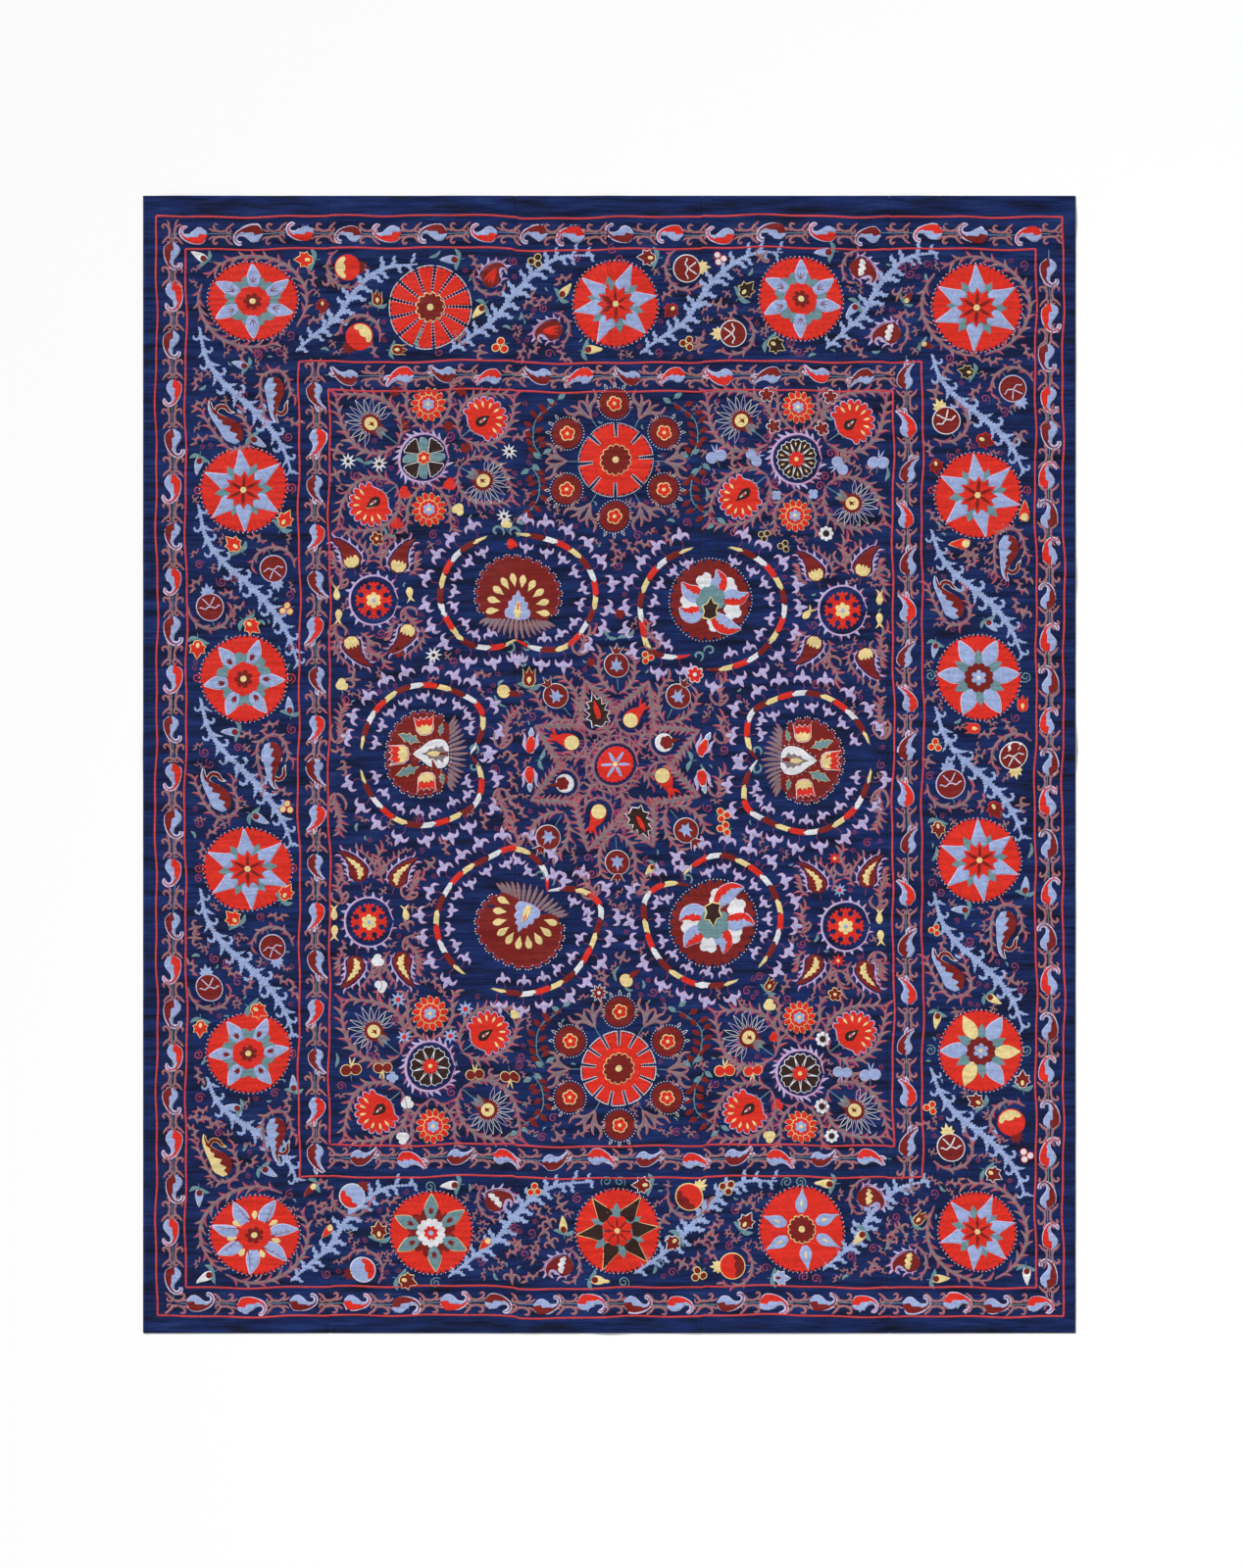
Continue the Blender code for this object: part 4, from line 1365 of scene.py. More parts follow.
squareFillings = {
    "daisy": [(355, 472, 90), (387, 473, 90), (519, 461, 90, 0.95), (515, 528, 90, 0.95)],
    "sagePair": [(371, 473, 90, 0.8), (396, 545, 60, 0.7), (843, 426, 60, 0.7)],
    "trefoilRed": [(413, 503, 90, 1.1), (460, 495, 80, 1.1), (406, 534, 90), (522, 556, 0, 0.9),
        (793, 1129, 90), (789, 1060, 90, 0.9)],
    "trefoilCream": [(468, 521, -60, 1.1), (525, 1035, 0, 0.9), (785, 1027, 90, 1.1),
        (785, 1161, -90, 1.1)],
    "starFlower": [(385, 550, 90), (851, 1015, 0)],
    "maroonBud": [(403, 400, 60, 0.9), (412, 434, 60, 0.9), (457, 436, 60, 0.9), (471, 401, 60, 0.9),
        (474, 459, 90, 0.9)],
    "spiral": [(400, 412), (461, 411), (388, 493), (396, 462), (459, 446), (463, 511), (411, 539),
        (463, 533), (348, 532), (408, 515), (783, 421), (846, 418), (783, 449), (778, 458), (847, 463),
        (836, 497), (749, 544), (466, 1147), (404, 1042), (476, 1050), (375, 1118), (500, 1080),
        (785, 1045), (846, 1040), (846, 1144), (752, 1112)],
    "spirals": [(369, 486), (846, 491), (790, 501), (786, 520), (840, 520), (463, 1122), (412, 1143),
        (375, 1073), (752, 1076), (786, 1144), (872, 1113), (872, 1078)],
    "fleur": [(346, 463), (344, 488), (865, 466), (750, 468), (505, 1100), (755, 1093), (873, 1096)],
    "fruitsSky": [(730, 466, 100), (768, 469, 30, 0.9), (857, 475, -150, 0.95), (895, 473, 80),
        (860, 1094, -100, 0.9), (888, 1097, 90)],
    "outlineFlower": [(783, 404, 0), (848, 405, 0), (789, 436, 90), (838, 438, 90)],
    "skyBud": [(792, 507, 0), (829, 505, 0), (401, 1099, 45, 1.1)],
    "berriesDark": [(780, 546, -90, 0.7), (802, 559, 180, 0.7)],
    "whiteFlower": [(844, 545, 0, 1.2), (839, 1061, 0, 1.2), (839, 1129, 0, 1.2), (848, 1159, 0, 1.1)],
    "trefoilWhite": [(386, 980, 90, 1.1), (388, 1006, -90, 1.1), (416, 1125, 90, 1.1),
        (410, 1161, -90, 1.1)],
    "daisyRed": [(610, 1013, 0)],
    "sageLeaf": [(903, 492, 85, 0.8), (721, 512, 95, 0.8), (343, 1090, 90, 0.8)],
    "fruitsMaroon": [(359, 1093, 90), (391, 1089, -90, 0.9), (485, 1098, 90, 0.9), (521, 1099, -90, 0.95)],
    "skyStar": [(405, 1020, 0), (413, 1058, 0, 0.95), (474, 1031, 0), (460, 1058, 0, 0.95)],
    "fruitsScarlet": [(740, 1093, 90), (769, 1093, -90, 0.9)],
}
layDown(squareFillings)


# ---- flowers above and below the middle of the field

def slottedFlower(headings, gapOuter):
    # Scarlet wedges with slots between them, six maroon roundels round them and leaves between
    made = disc("scarlet", 1, 4.9, rows=49) + wedges(7.9, 4.6, headings, 0.24, gapOuter, 4)
    made += outlined("maroon", "cream", 2, scallops(3.3, 14, 0.14), 0.15) + disc("cream", 5, 0.72, rows=13)
    roundel = disc("maroon", 1, 3.3, 24, 0.05, rows=49) + rimBeads(3.55, 34, 0.13)
    roundel += outlined("scarlet", "cream", 2, scallops(1.5, 5, 0.25), 0.22)
    roundel += disc("cream", 5, 0.42, rows=11)
    for turn in (-28, 0, 28):
        roundel += moved(outlineSpike(1.1, 0.26), 3.6 * np.sin(np.radians(-turn)), 3.6
            * np.cos(np.radians(turn)), turn)
    made += around(roundel, 6, 12.1)
    scroll = []
    for knots, widths in (([(0, -0.6), (0.9, 1.2), (2.2, 2.1), (3.3, 1.5), (3, 0.6), (2.3, 0.8)],
            [0.12, 0.28, 0.26, 0.22, 0.18, 0.08]), ([(0.4, 0.6), (0.8, 2.4), (0.1, 4)], [0.18, 0.26, 0.03]),
            ([(2.3, 2.1), (3.5, 2.9), (3.7, 4.4)], [0.18, 0.22, 0.03]),
            ([(1.2, 1.6), (1.3, 3), (2.2, 4.1)], [0.15, 0.2, 0.03])):
        scroll += stroke(knots, widths, 3 * len(knots) - 1, 0.14)
    pair = paired(scroll) + stalk(0, -3, 0, 0.2, 0.1)
    return made + around(pair, 6, 11, 30)


def leafyVine(length, side):
    # Sage stem bowed outwards, with leaves on stalks to both sides in turn
    stem = [(side * -1.2, 0.4), (side * 0.6, length * 0.3), (side * 0.1, length * 0.7),
        (side * -4.6, length)]
    made = ribbon("sage", 1, stem, 0.13, 16)
    for k, (x, y) in enumerate(smoothLine(stem, 8)):
        for way in (-1, 1):
            colour = "sage" if k in (0, 7) else "maroon"
            blade = ribbon(colour, 1, [(0, 0.5), (0.2, 2.5)], [0.22, 0.58, 0.45, 0.06], 6, 5)
            made += moved(blade + ribbon("sage", 1, [(0, 0), (0, 0.6)], 0.08, 3), x, y + 0.5 * way, -56
                * way + 9 * np.sin(2.1 * k))
    return made


upperFlower = {"place": (627.7, 470), "gap": 0.43, "slots": [90, 48, 7, -42, -90, -133, 184, 136]}
lowerFlower = {"place": (631.5, 1090.5), "gap": 0.34, "slots": [90 - 27.7 * k for k in range(13)]}
for flower in (upperFlower, lowerFlower):
    x, y = at(*flower["place"])
    stitchOn(slottedFlower(flower["slots"], flower["gap"]), x, y)
    for side in (-1, 1):
        for upward in (0, 180):
            stitchOn(leafyVine(12.2, side), x + side * 17, y + (0.5 if upward == 0 else -0.5), upward)
print("flowers of the middle drawn")


# ---- ring medallions

def fleurDeLis(stemBend):
    # Pointed middle petal with a sky core, a slim curled lobe each side, on a short bent stalk
    made = ribbon("rose", 1, [(0, 0.2), (stemBend, -0.9), (0, -2.1)], 0.09, 6)
    for side in (-1, 1):
        arm = edged("lilac", "rose", 1, [(0, 0.4), (0.85, 1.3), (1.7, 1), (1.95, -0.1)],
            [0.26, 0.42, 0.42, 0.3, 0.05], 9, 3, 0.1)
        made += moved(arm, mirror=side)
    made += edged("lilac", "rose", 1, [(0, 0.1), (0, 3.3)], [0.2, 0.4, 0.56, 0.42, 0.04], 7, 3, 0.1)
    return made + ribbon("sky", 3, [(0, 0.6), (0, 2.4)], [0.06, 0.2, 0.04], 5)


lilies = [fleurDeLis(0.5), fleurDeLis(-0.5)]

ringStyle = {
    "colours": ("cream", "maroon", "white", "scarlet"),
    "step": 3.1,         # cm, length of one coloured link
    "halfWidth": 0.62,
    "point": 0.55,       # cm that each link runs into the next
    "outsideStep": 4,    # cm between the lilies round the outside
    "insideStep": 4.6,
    "cuspSpread": 16,    # degrees over which the ring turns in to its cusp
    "shoulder": 38,      # degrees from the cusp to the shoulders beside it
    "fieldMiddle": 0.4,  # cm, middle and half width of the field that the lilies stay in
    "fieldHalf": 59.5,
    "starReach": 20,     # cm round the middle star that they stay out of
    "starMiddle": (1.3, -0.1),
}


def ringLine(ring, fromDeg, toDeg, depth, count=90):
    # Ellipse drawn in at the cusp by depth * exp(-(angle from cusp / spread) ^ 1.3), and swollen at
    # the shoulders beside it
    angle = np.linspace(fromDeg, toDeg, count)
    away = (angle - ring["cusp"] + 180) % 360 - 180
    pull = 1 - depth * np.exp(-(np.abs(away) / ringStyle["cuspSpread"]) ** 1.3)
    fromShoulder = np.abs(away) - ringStyle["shoulder"]
    pull = pull + 0.3 * depth * np.exp(-(fromShoulder / ringStyle["cuspSpread"]) ** 2)
    a = np.radians(angle)
    return np.stack([ring["radii"][0] * pull * np.cos(a), ring["radii"][1] * pull * np.sin(a)], 1)


def linkedBand(line):
    # Arrow shaped links in turn: the middle of each is pushed on by the point
    made = []
    reach = np.concatenate([[0], np.cumsum(np.linalg.norm(np.diff(line, axis=0), axis=1))])
    slope = np.gradient(line, axis=0)
    slope = slope / np.linalg.norm(slope, axis=1, keepdims=True)
    count = int(round(reach[-1] / ringStyle["step"]))
    side = np.array([-1, 0, 1])
    for k in range(count):
        s = np.linspace(k, k + 1, 6)[:, None] / count * reach[-1] + ringStyle["point"] * (1 - np.abs(side))
        s = np.minimum(s, reach[-1])
        x, y = (np.interp(s, reach, line[:, i]) for i in (0, 1))
        tx, ty = (np.interp(s, reach, slope[:, i]) for i in (0, 1))
        near = np.minimum(s, reach[-1] - s) / 6
        width = ringStyle["halfWidth"] * np.clip(0.28 + near, 0, 1)
        xy = np.stack([x - ty * side * width, y + tx * side * width], -1)
        made += patch(ringStyle["colours"][k % 4], 1 + (k % 2), xy)
    return made


def ringLilies(ring, line, step, outward, keep):
    # Lilies along a line at even steps, on the outside or the inside of it
    made = []
    reach = np.concatenate([[0], np.cumsum(np.linalg.norm(np.diff(line, axis=0), axis=1))])
    count = int(reach[-1] / step)
    turning = np.sign(line[0, 0] * line[1, 1] - line[0, 1] * line[1, 0])
    for k in range(count):
        s = (k + 0.55) * reach[-1] / count
        x, y = (np.interp(s, reach, line[:, i]) for i in (0, 1))
        x2, y2 = (np.interp(s + 0.5, reach, line[:, i]) for i in (0, 1))
        normal = np.array([y2 - y, x - x2]) / np.hypot(x2 - x, y2 - y) * turning * outward
        if not keep(x + ring["middle"][0], y + ring["middle"][1], normal):
            continue
        heading = np.degrees(np.arctan2(normal[1], normal[0])) + 16 * np.sin(1.9 * k + ring["cusp"])
        size = 0.9 if outward > 0 else 0.72
        off = 2.55 * size + 0.25 * np.sin(2.9 * k)
        made += moved(lilies[k % 2], x + off * normal[0], y + off * normal[1], heading - 90, size)
    return made


def insideField(x, y, normal):
    # Leaves out lilies that would run over the frame or into the middle star
    spot = np.array([x, y]) + 4 * normal
    inside = abs(spot[0] - ringStyle["fieldMiddle"]) < ringStyle["fieldHalf"]
    return inside and np.hypot(*(spot - ringStyle["starMiddle"])) > ringStyle["starReach"]


def workRing(ring):
    # Band from each side of the gap round to the cusp, with lilies outside and inside
    after = ring["gap"] + ring["open"]
    before = ring["gap"] - ring["open"]
    made = []
    shut = ring.get("cuspOpen", 0)
    for start, end, depth in ((after, after + (ring["cusp"] - after) % 360 - shut, ring["depth"][0]),
            (before, before - (before - ring["cusp"]) % 360 + shut, ring["depth"][1])):
        line = ringLine(ring, start, end, depth)
        made += linkedBand(line)
        made += ringLilies(ring, line, ringStyle["outsideStep"], 1, insideField)
        inner = line[:int(len(line) * 0.93)]
        made += ringLilies(ring, inner, ringStyle["insideStep"], -1, lambda x, y, normal: True)
    stitchOn(made, *ring["middle"])


def fanBody(colour, lobes=17):
    # Wide lobed fan, flat below, with knots round its rim and a tuft of feathers under it
    angle = np.radians(np.linspace(-34, 214, lobes * 4 + 1))
    ratio = 0.91 + 0.09 * np.abs(np.sin(np.linspace(0, lobes * np.pi, lobes * 4 + 1))) ** 0.6
    arc = polar(9.4 * ratio, angle, 8.3 * ratio)
    outline = np.vstack([arc, [(-6.2, -5.5), (0, -5.3), (6.2, -5.5)], arc[:1]])
    made = spread(colour, 1, outline, (0, 0.35, 0.7), (0, -0.5)) + beads("white", 2, arc * 1.015, 0.14)
    made += ribbon("rose", 3, arc[1:-1:2] * 0.955, 0.09, lobes * 2)
    for x in np.linspace(-5.6, 5.6, 15):
        made += moved(leaf("taupe", 1, 4.4 - 0.28 * abs(x), 0.33, 0.1, "salmon", rim=0.1), x, -5.3, 180 + 11
            * x)
    return made


def dropFan():
    # Fan with an arch of cream drops round a sky flame
    made = fanBody("maroon")
    for k in range(10):
        turn = -96 + 21.3 * k
        spot = np.radians(turn + 90)
        made += moved(drop("cream", 3, 2.9, 0.74), 3.9 * np.cos(spot), -3.2 + 4.6 * np.sin(spot), turn)
    half = [(0, 0.7), (0.45, -0.6), (1.15, -0.7), (1.2, -1.7), (2, -1.9), (1.8, -3.1), (2.55, -3.6),
        (2.3, -5), (0.8, -5.4)]
    flame = closed(half + [(-x, y) for x, y in half[:0:-1]], 2)
    made += outlined("sky", "lilac", 3, flame, 0.16, (0, -3.2))
    made += edged("cream", "maroon", 5, [(0, -5.2), (0, -1.3)], [0.5, 0.75, 0.5, 0.05], 8, 5, 0.12)
    return made + ribbon("scarlet", 7, [(0, -3.6), (0, -1.5)], [0.3, 0.55, 0.05], 6)


def tulipFan():
    # Fan with three tulips, serrated leaves between them and a white heart with a bud
    made = fanBody("maroon")
    cup = closed(bothSides([(0, -2.1), (1.2, -1.9), (1.9, -1), (1.95, 0.6), (2.2, 2.3), (1.2, 1.3),
        (0.75, 2.1), (0, 1.4)]))
    base = closed(bothSides([(0, -1.95), (1.15, -1.75), (1.75, -0.9), (1.7, 0.1), (1, -0.3), (0.5, 0.4),
        (0, -0.1)]))
    tulip = outlined("scarlet", "white", 2, cup, 0.15, (0, -0.2), (0, 0.5))
    tulip += spread("cream", 5, base, (0,), (0, -0.9))
    made += moved(tulip, 0, 5.3, 4) + moved(tulip, 6, -0.2, -82, 0.95) + moved(tulip, -6, -0.9, 92, 0.92)
    serrated = closed([(0, -2.5), (0.35, -1.4), (1.1, -1.1), (0.6, -0.3), (1.2, 0.4), (0.55, 0.9),
        (0.7, 1.6), (0.15, 2.7), (-0.4, 1.5), (-1, 0.9), (-0.55, 0.2), (-1.1, -0.6), (-0.4, -1.2)])
    green = outlined("sage", "cream", 2, serrated, 0.12, (0, 0), (0,))
    made += moved(green, 3.3, 3, -20) + moved(green, -3.5, 3.2, 16, 1, -1)
    made += moved(green, 5.2, -3.7, -96, 0.55) + moved(green, -5.3, -4.1, 100, 0.55, -1)
    heart = closed(bothSides([(0, 2.4), (1.3, 0.6), (2.6, -1), (3.2, -2.9), (2.9, -4.6), (1.4, -5.5),
        (0, -5.4)]), 2)
    made += spread("white", 2, heart, (0, 0.5), (0, -3)) + beads("white", 2, grown(heart, 0.42)[:-1], 0.13)
    teeth = closed(bothSides([(0, 0.6), (0.45, -0.8), (1.2, -1.2), (1, -2), (1.7, -2.7), (1.3, -3.2),
        (1.8, -4.1), (1, -4.4), (0, -5.3)]))
    made += spread("taupe", 4, teeth, (0,), (0, -2.9))
    made += ribbon("maroon", 5, [(0, -5.3), (0, -2.6)], [0.5, 0.65, 0.3], 6)
    return made + ribbon("cream", 6, [(0, -3.6), (0, -0.6)], [0.35, 0.6, 0.06], 6)


def irisDisc():
    # Knotted maroon disc under a large flower: curled petals of scarlet and sky, white lobes between
    # them, a sage middle and a dark bud at the foot
    made = disc("maroon", 1, 9, 26, 0.09, rows=105) + beads("white", 2, scallops(9.1, rows=73)[:-1], 0.13)
    for x, y in ((-1.1, 3.6), (3.5, 2.6), (-4.2, -0.2), (4.4, -2.4), (1.2, -4.6)):
        made += moved(disc("white", 2, 2.1, 4, 0.25, start=20), 1.12 * x, 1.12 * y)
    for spine in ([(0.2, 0.8), (1.5, 2.8), (2.2, 4.6), (1.5, 6.6)],
            [(-1.4, 0.8), (-3.4, 1.4), (-5, 2.4), (-6.4, 4.2)],
            [(2, -0.2), (4.4, 0.4), (6.4, 0.3), (8.4, 1.4)],
            [(-1.6, -1.8), (-3.5, -2.8), (-5.2, -2.7), (-6.8, -1.4)],
            [(0.6, -3.2), (2.4, -5.2), (4.6, -6.4), (7, -6.6)]):
        made += twoTone(spine, [0.8, 1.8, 1.45, 0.08], "sky", "scarlet", "pale", 3, 4, 0.4, -0.1, 17)
    made += disc("sage", 7, 3.3, 7, 0.16)
    bud = closed(bothSides([(0, 2.4), (0.7, 1), (1.7, 0.8), (1.2, -0.6), (1.5, -1.8), (0, -2.4)]))
    return made + moved(outlined("dark", "cream", 8, bud, 0.26, (0, 0), (0,)), 0, -1.9)


palmettes = {"drops": dropFan(), "tulips": tulipFan(), "iris": irisDisc()}
# Each ring: its middle and radii, headings of its gap and its cusp, half the opening of either in degrees,
# how far each band is drawn in at the cusp, and the palmette with its place, heading and size
ringMedallions = [
    {"middle": at(528, 606), "radii": (16.7, 13), "gap": 102, "open": 10, "cusp": 270,
        "depth": (0.24, 0.24), "palmette": ("drops", at(528, 606), 90, 1)},
    {"middle": at(726, 620), "radii": (15.4, 13.4), "gap": 90, "open": 13, "cusp": 257, "cuspOpen": 9,
        "depth": (0.34, 0.03), "palmette": ("iris", at(724, 612), 90, 0.97)},
    {"middle": at(433, 771), "radii": (13.7, 15.1), "gap": 184, "open": 7, "cusp": 0, "depth": (0.28, 0.28),
        "palmette": ("tulips", at(432, 770), 180, 1)},
    {"middle": at(821, 779), "radii": (14.2, 14.9), "gap": 6, "open": 9, "cusp": 178, "depth": (0.28, 0.28),
        "palmette": ("tulips", at(822, 777), 0, 0.98)},
    {"middle": at(527, 943), "radii": (17, 14.8), "gap": 240, "open": 10, "cusp": 52, "depth": (0.36, 0.36),
        "palmette": ("drops", at(531, 947), -112, 1.03)},
    {"middle": at(728, 940), "radii": (14.3, 13.7), "gap": 302, "open": 9, "cusp": 122,
        "depth": (0.12, 0.32), "palmette": ("iris", at(728, 942), -84, -1.03)},
]
for ring in ringMedallions:
    workRing(ring)
    name, place, heading, size = ring["palmette"]
    stitchOn(palmettes[name], *place, heading - 90, abs(size), 1 if size > 0 else -1)
print("ring medallions drawn")


# ---- flowers at the sides of the middle, and the star

# Cream head of the side botehs, toothed along its upper edge
sideCream = [(-1.5, -0.7), (-1.75, -1.6), (-1.3, -2.7), (0, -3.15), (1.3, -2.7), (1.75, -1.6), (1.6, -0.5),
    (1.1, -0.9), (0.75, -0.2), (0.3, -0.8), (-0.1, -0.2), (-0.5, -0.9), (-0.95, -0.4)]


def sideBoteh(leafy=False):
    # Maroon body with a cream head or a cream leaf in it, a barbed lilac outline and a longer vine round it
    spine = [(0, -3.3), (-0.1, -1.7), (0, 0.1), (0.5, 2), (1.5, 3.8), (2.9, 5.2)]
    widths = [0.9, 2.05, 1.8, 1.15, 0.6, 0.06]
    made = ribbon("maroon", 1, spine, widths, 15, 5)
    if leafy:
        made += knotted("cream", 3, [(0.3, -2.6), (-0.5, -1.2), (-0.2, 0.4), (0.7, 2), (1.5, 3.2)],
            [0.3, 0.75, 0.62, 0.42, 0.05], 13)
    else:
        made += spread("cream", 3, closed(sideCream), (0, 0.5), (0, -1.8))
    line, normal, width = edges(spine, widths, 24)
    for side in (-1, 1):
        outer = line + side * (width + 0.5)[:, None] * normal
        made += vine(outer[1:22:4], 0.17, 6, 0.9, (side,), 36, "lilac", "rose", 0.07, tips="lilac")
        farther = line + side * (width + 1.9)[:, None] * normal
        made += vine(farther[0:19:4], 0.27, 7, 1.2, (side,), 40)
    return made + ribbon("rose", 1, [(0, -3.4), (0.2, -5.2)], 0.09, 5)


def sideFlower():
    # Forked scarlet petals round a cream flower in a hooked lilac ring
    forked = closed(bothSides([(0, 1.2), (0.55, 2.2), (0.6, 3.1), (1.25, 3.4), (1, 4), (0.35, 3.6),
        (0, 4.15)]))
    made = around(spread("scarlet", 1, forked, (0,), (0, 2.8)), 8) + disc("scarlet", 2, 2.5, 16, 0.12)
    made += disc("cream", 3, 1.75, 6, 0.28) + disc("sky", 4, 0.5, rows=11)
    return made + arcVine(5.3, 5.3, 4, 358, 18, halfWidth=0.24, thorn=0.8, sides=(-1,), lean=55,
        colour="lilac", edge="rose", rim=0.08, tips="lilac")


def spray(length, halfWidth=0.28):
    # Barbed stem with a scroll to either side of its foot
    made = vine([(0, -length / 2), (0.5, -length / 5), (-0.1, length / 5), (0.7, length / 2)], halfWidth,
        int(length * 1.9), 1.3, (1, -1), 34)
    for side in (-1, 1):
        made += stroke([(0.1, -length / 2), (1.1 * side, -0.42 * length), (1.9 * side, -0.2 * length),
            (1.4 * side, -0.05 * length)], [0.1, 0.17, 0.15, 0.05], 8, 0.13)
    return made


budPair = edged("cream", "maroon", 1, [(0, -1.5), (0, 0.9)], [0.3, 0.75, 0.6, 0.25], 8, 5, 0.12)
for side in (-1, 1):
    budPair += edged("cream", "maroon", 1, [(0, 0.6), (0.3 * side, 1.2), (0.9 * side, 1.8)],
        [0.2, 0.2, 0.04], 5, 3, 0.1)
motifs.update({"sideBoteh": sideBoteh(), "leafyBoteh": sideBoteh(True), "sideFlower": sideFlower(),
    "spray": spray(5.6), "longSpray": spray(8.4, 0.34), "bud": budPair})
sideFillings = {
    "sideFlower": [(381, 613, 90), (859, 623, 90), (377, 941, 90), (863, 945, 90)],
    "sideBoteh": [(356, 567, 110, -0.92), (407, 570, 78, 0.95), (362, 663, -70, -0.92),
        (414, 650, -110, 0.9), (830, 580, 110, -0.9), (881, 575, 75, 0.92), (829, 663, -110, 0.9),
        (885, 675, -80, -0.9)],
    "leafyBoteh": [(363, 886, 110, -0.92), (407, 892, 70, 0.92), (362, 990, -100, 0.92),
        (411, 986, -90, -0.92), (831, 898, 110, -0.92), (885, 892, 80, 0.92), (830, 989, -110, 0.92),
        (884, 994, -80, -0.92)],
    "bud": [(343, 606, 90), (345, 630, -90), (418, 606, -80), (897, 610, 90), (897, 633, -90),
        (823, 627, 50), (341, 933, 90), (342, 953, -90), (898, 936, 90), (899, 957, -90), (415, 932, 100)],
    "spray": [(389, 556, 60), (347, 588, 80), (346, 651, -80), (386, 668, -40), (420, 632, -60),
        (860, 563, 80), (899, 592, -75), (898, 655, 75), (852, 682, -70), (385, 880, 85), (346, 910, 100),
        (420, 905, 60), (389, 1000, -95), (422, 968, -60), (858, 880, 95), (897, 915, 80), (857, 1003, -80),
        (896, 985, -80), (818, 940, 90)],
    "longSpray": [(346, 740, 80), (346, 830, -80), (898, 735, 100), (898, 825, -95), (515, 745, 75),
        (515, 825, -75)],
    "daisy": [(443, 669, 0)],
    "redStar": [(851, 876, 0, 0.9), (856, 980, 0, 0.9)],
    "skyStar": [(856, 908, 0, 0.8)],
    "trefoilCream": [(349, 700, 90, 1.1)],
    "fleur": [(357, 694), (895, 700)],
    "spiral": [(353, 715), (389, 647), (429, 838), (833, 700)],
    "maroonBud": [(408, 666, 0, 0.9)],
}
layDown(sideFillings)


def starBand(middle, tips, notches, outer=19.3, inner=11.7):
    # Barbed band from each tip of the star to the notch beside it
    corners = []
    for tip, notch in zip(tips, notches):
        corners.append(outer * np.array([np.cos(np.radians(tip)), np.sin(np.radians(tip))]))
        corners.append(inner * np.array([np.cos(np.radians(notch)), np.sin(np.radians(notch))]))
    corners.append(corners[0])
    made = []
    for k in range(16):
        a, b = corners[k], corners[k + 1]
        if k % 2:
            a, b = b, a
        made += vine([a + 0.02 * (a - b), a + 0.35 * (b - a), a + 0.7 * (b - a), b + 0.03 * (b - a)], 0.56,
            17, 1.35, (1, -1), 30, rim=0.17)
    stitchOn(made, *middle)


starPlace = ringStyle["starMiddle"]
starBand(starPlace, (109.6, 68, 23, -20, -65, -108, 202, 154), (90, 45, 0, -43, -85, 223, 180, 132))
middleDisc = outlined("scarlet", "scarlet", 1, scallops(3.9, 24, 0.06, rows=97), 0.02)
middleDisc += spokes(ribbon("sky", 3, [(0, 0.4), (0, 3.3)], [0.3, 0.55, 0.5, 0.05], 7),
    (120, 60, 0, -60, -120, 180))
middleDisc += disc("cream", 4, 0.55, rows=11)
middleDisc += arcVine(4.8, 4.8, 0, 356, 22, halfWidth=0.3, thorn=1.5, sides=(-1,), lean=36)
middleDisc += arcVine(6.1, 6.1, 20, 340, 26, halfWidth=0.22, thorn=1.2, sides=(1, -1), lean=30, tips="rose")
for k in range(6):
    arm = vine([(0, 5.2), (0.9, 6.8), (0.4, 8.6), (1.4, 10.4)], 0.34, 11, 1.5, lean=40)
    middleDisc += moved(arm, turn=20 + 60 * k)
stitchOn(middleDisc, *starPlace)


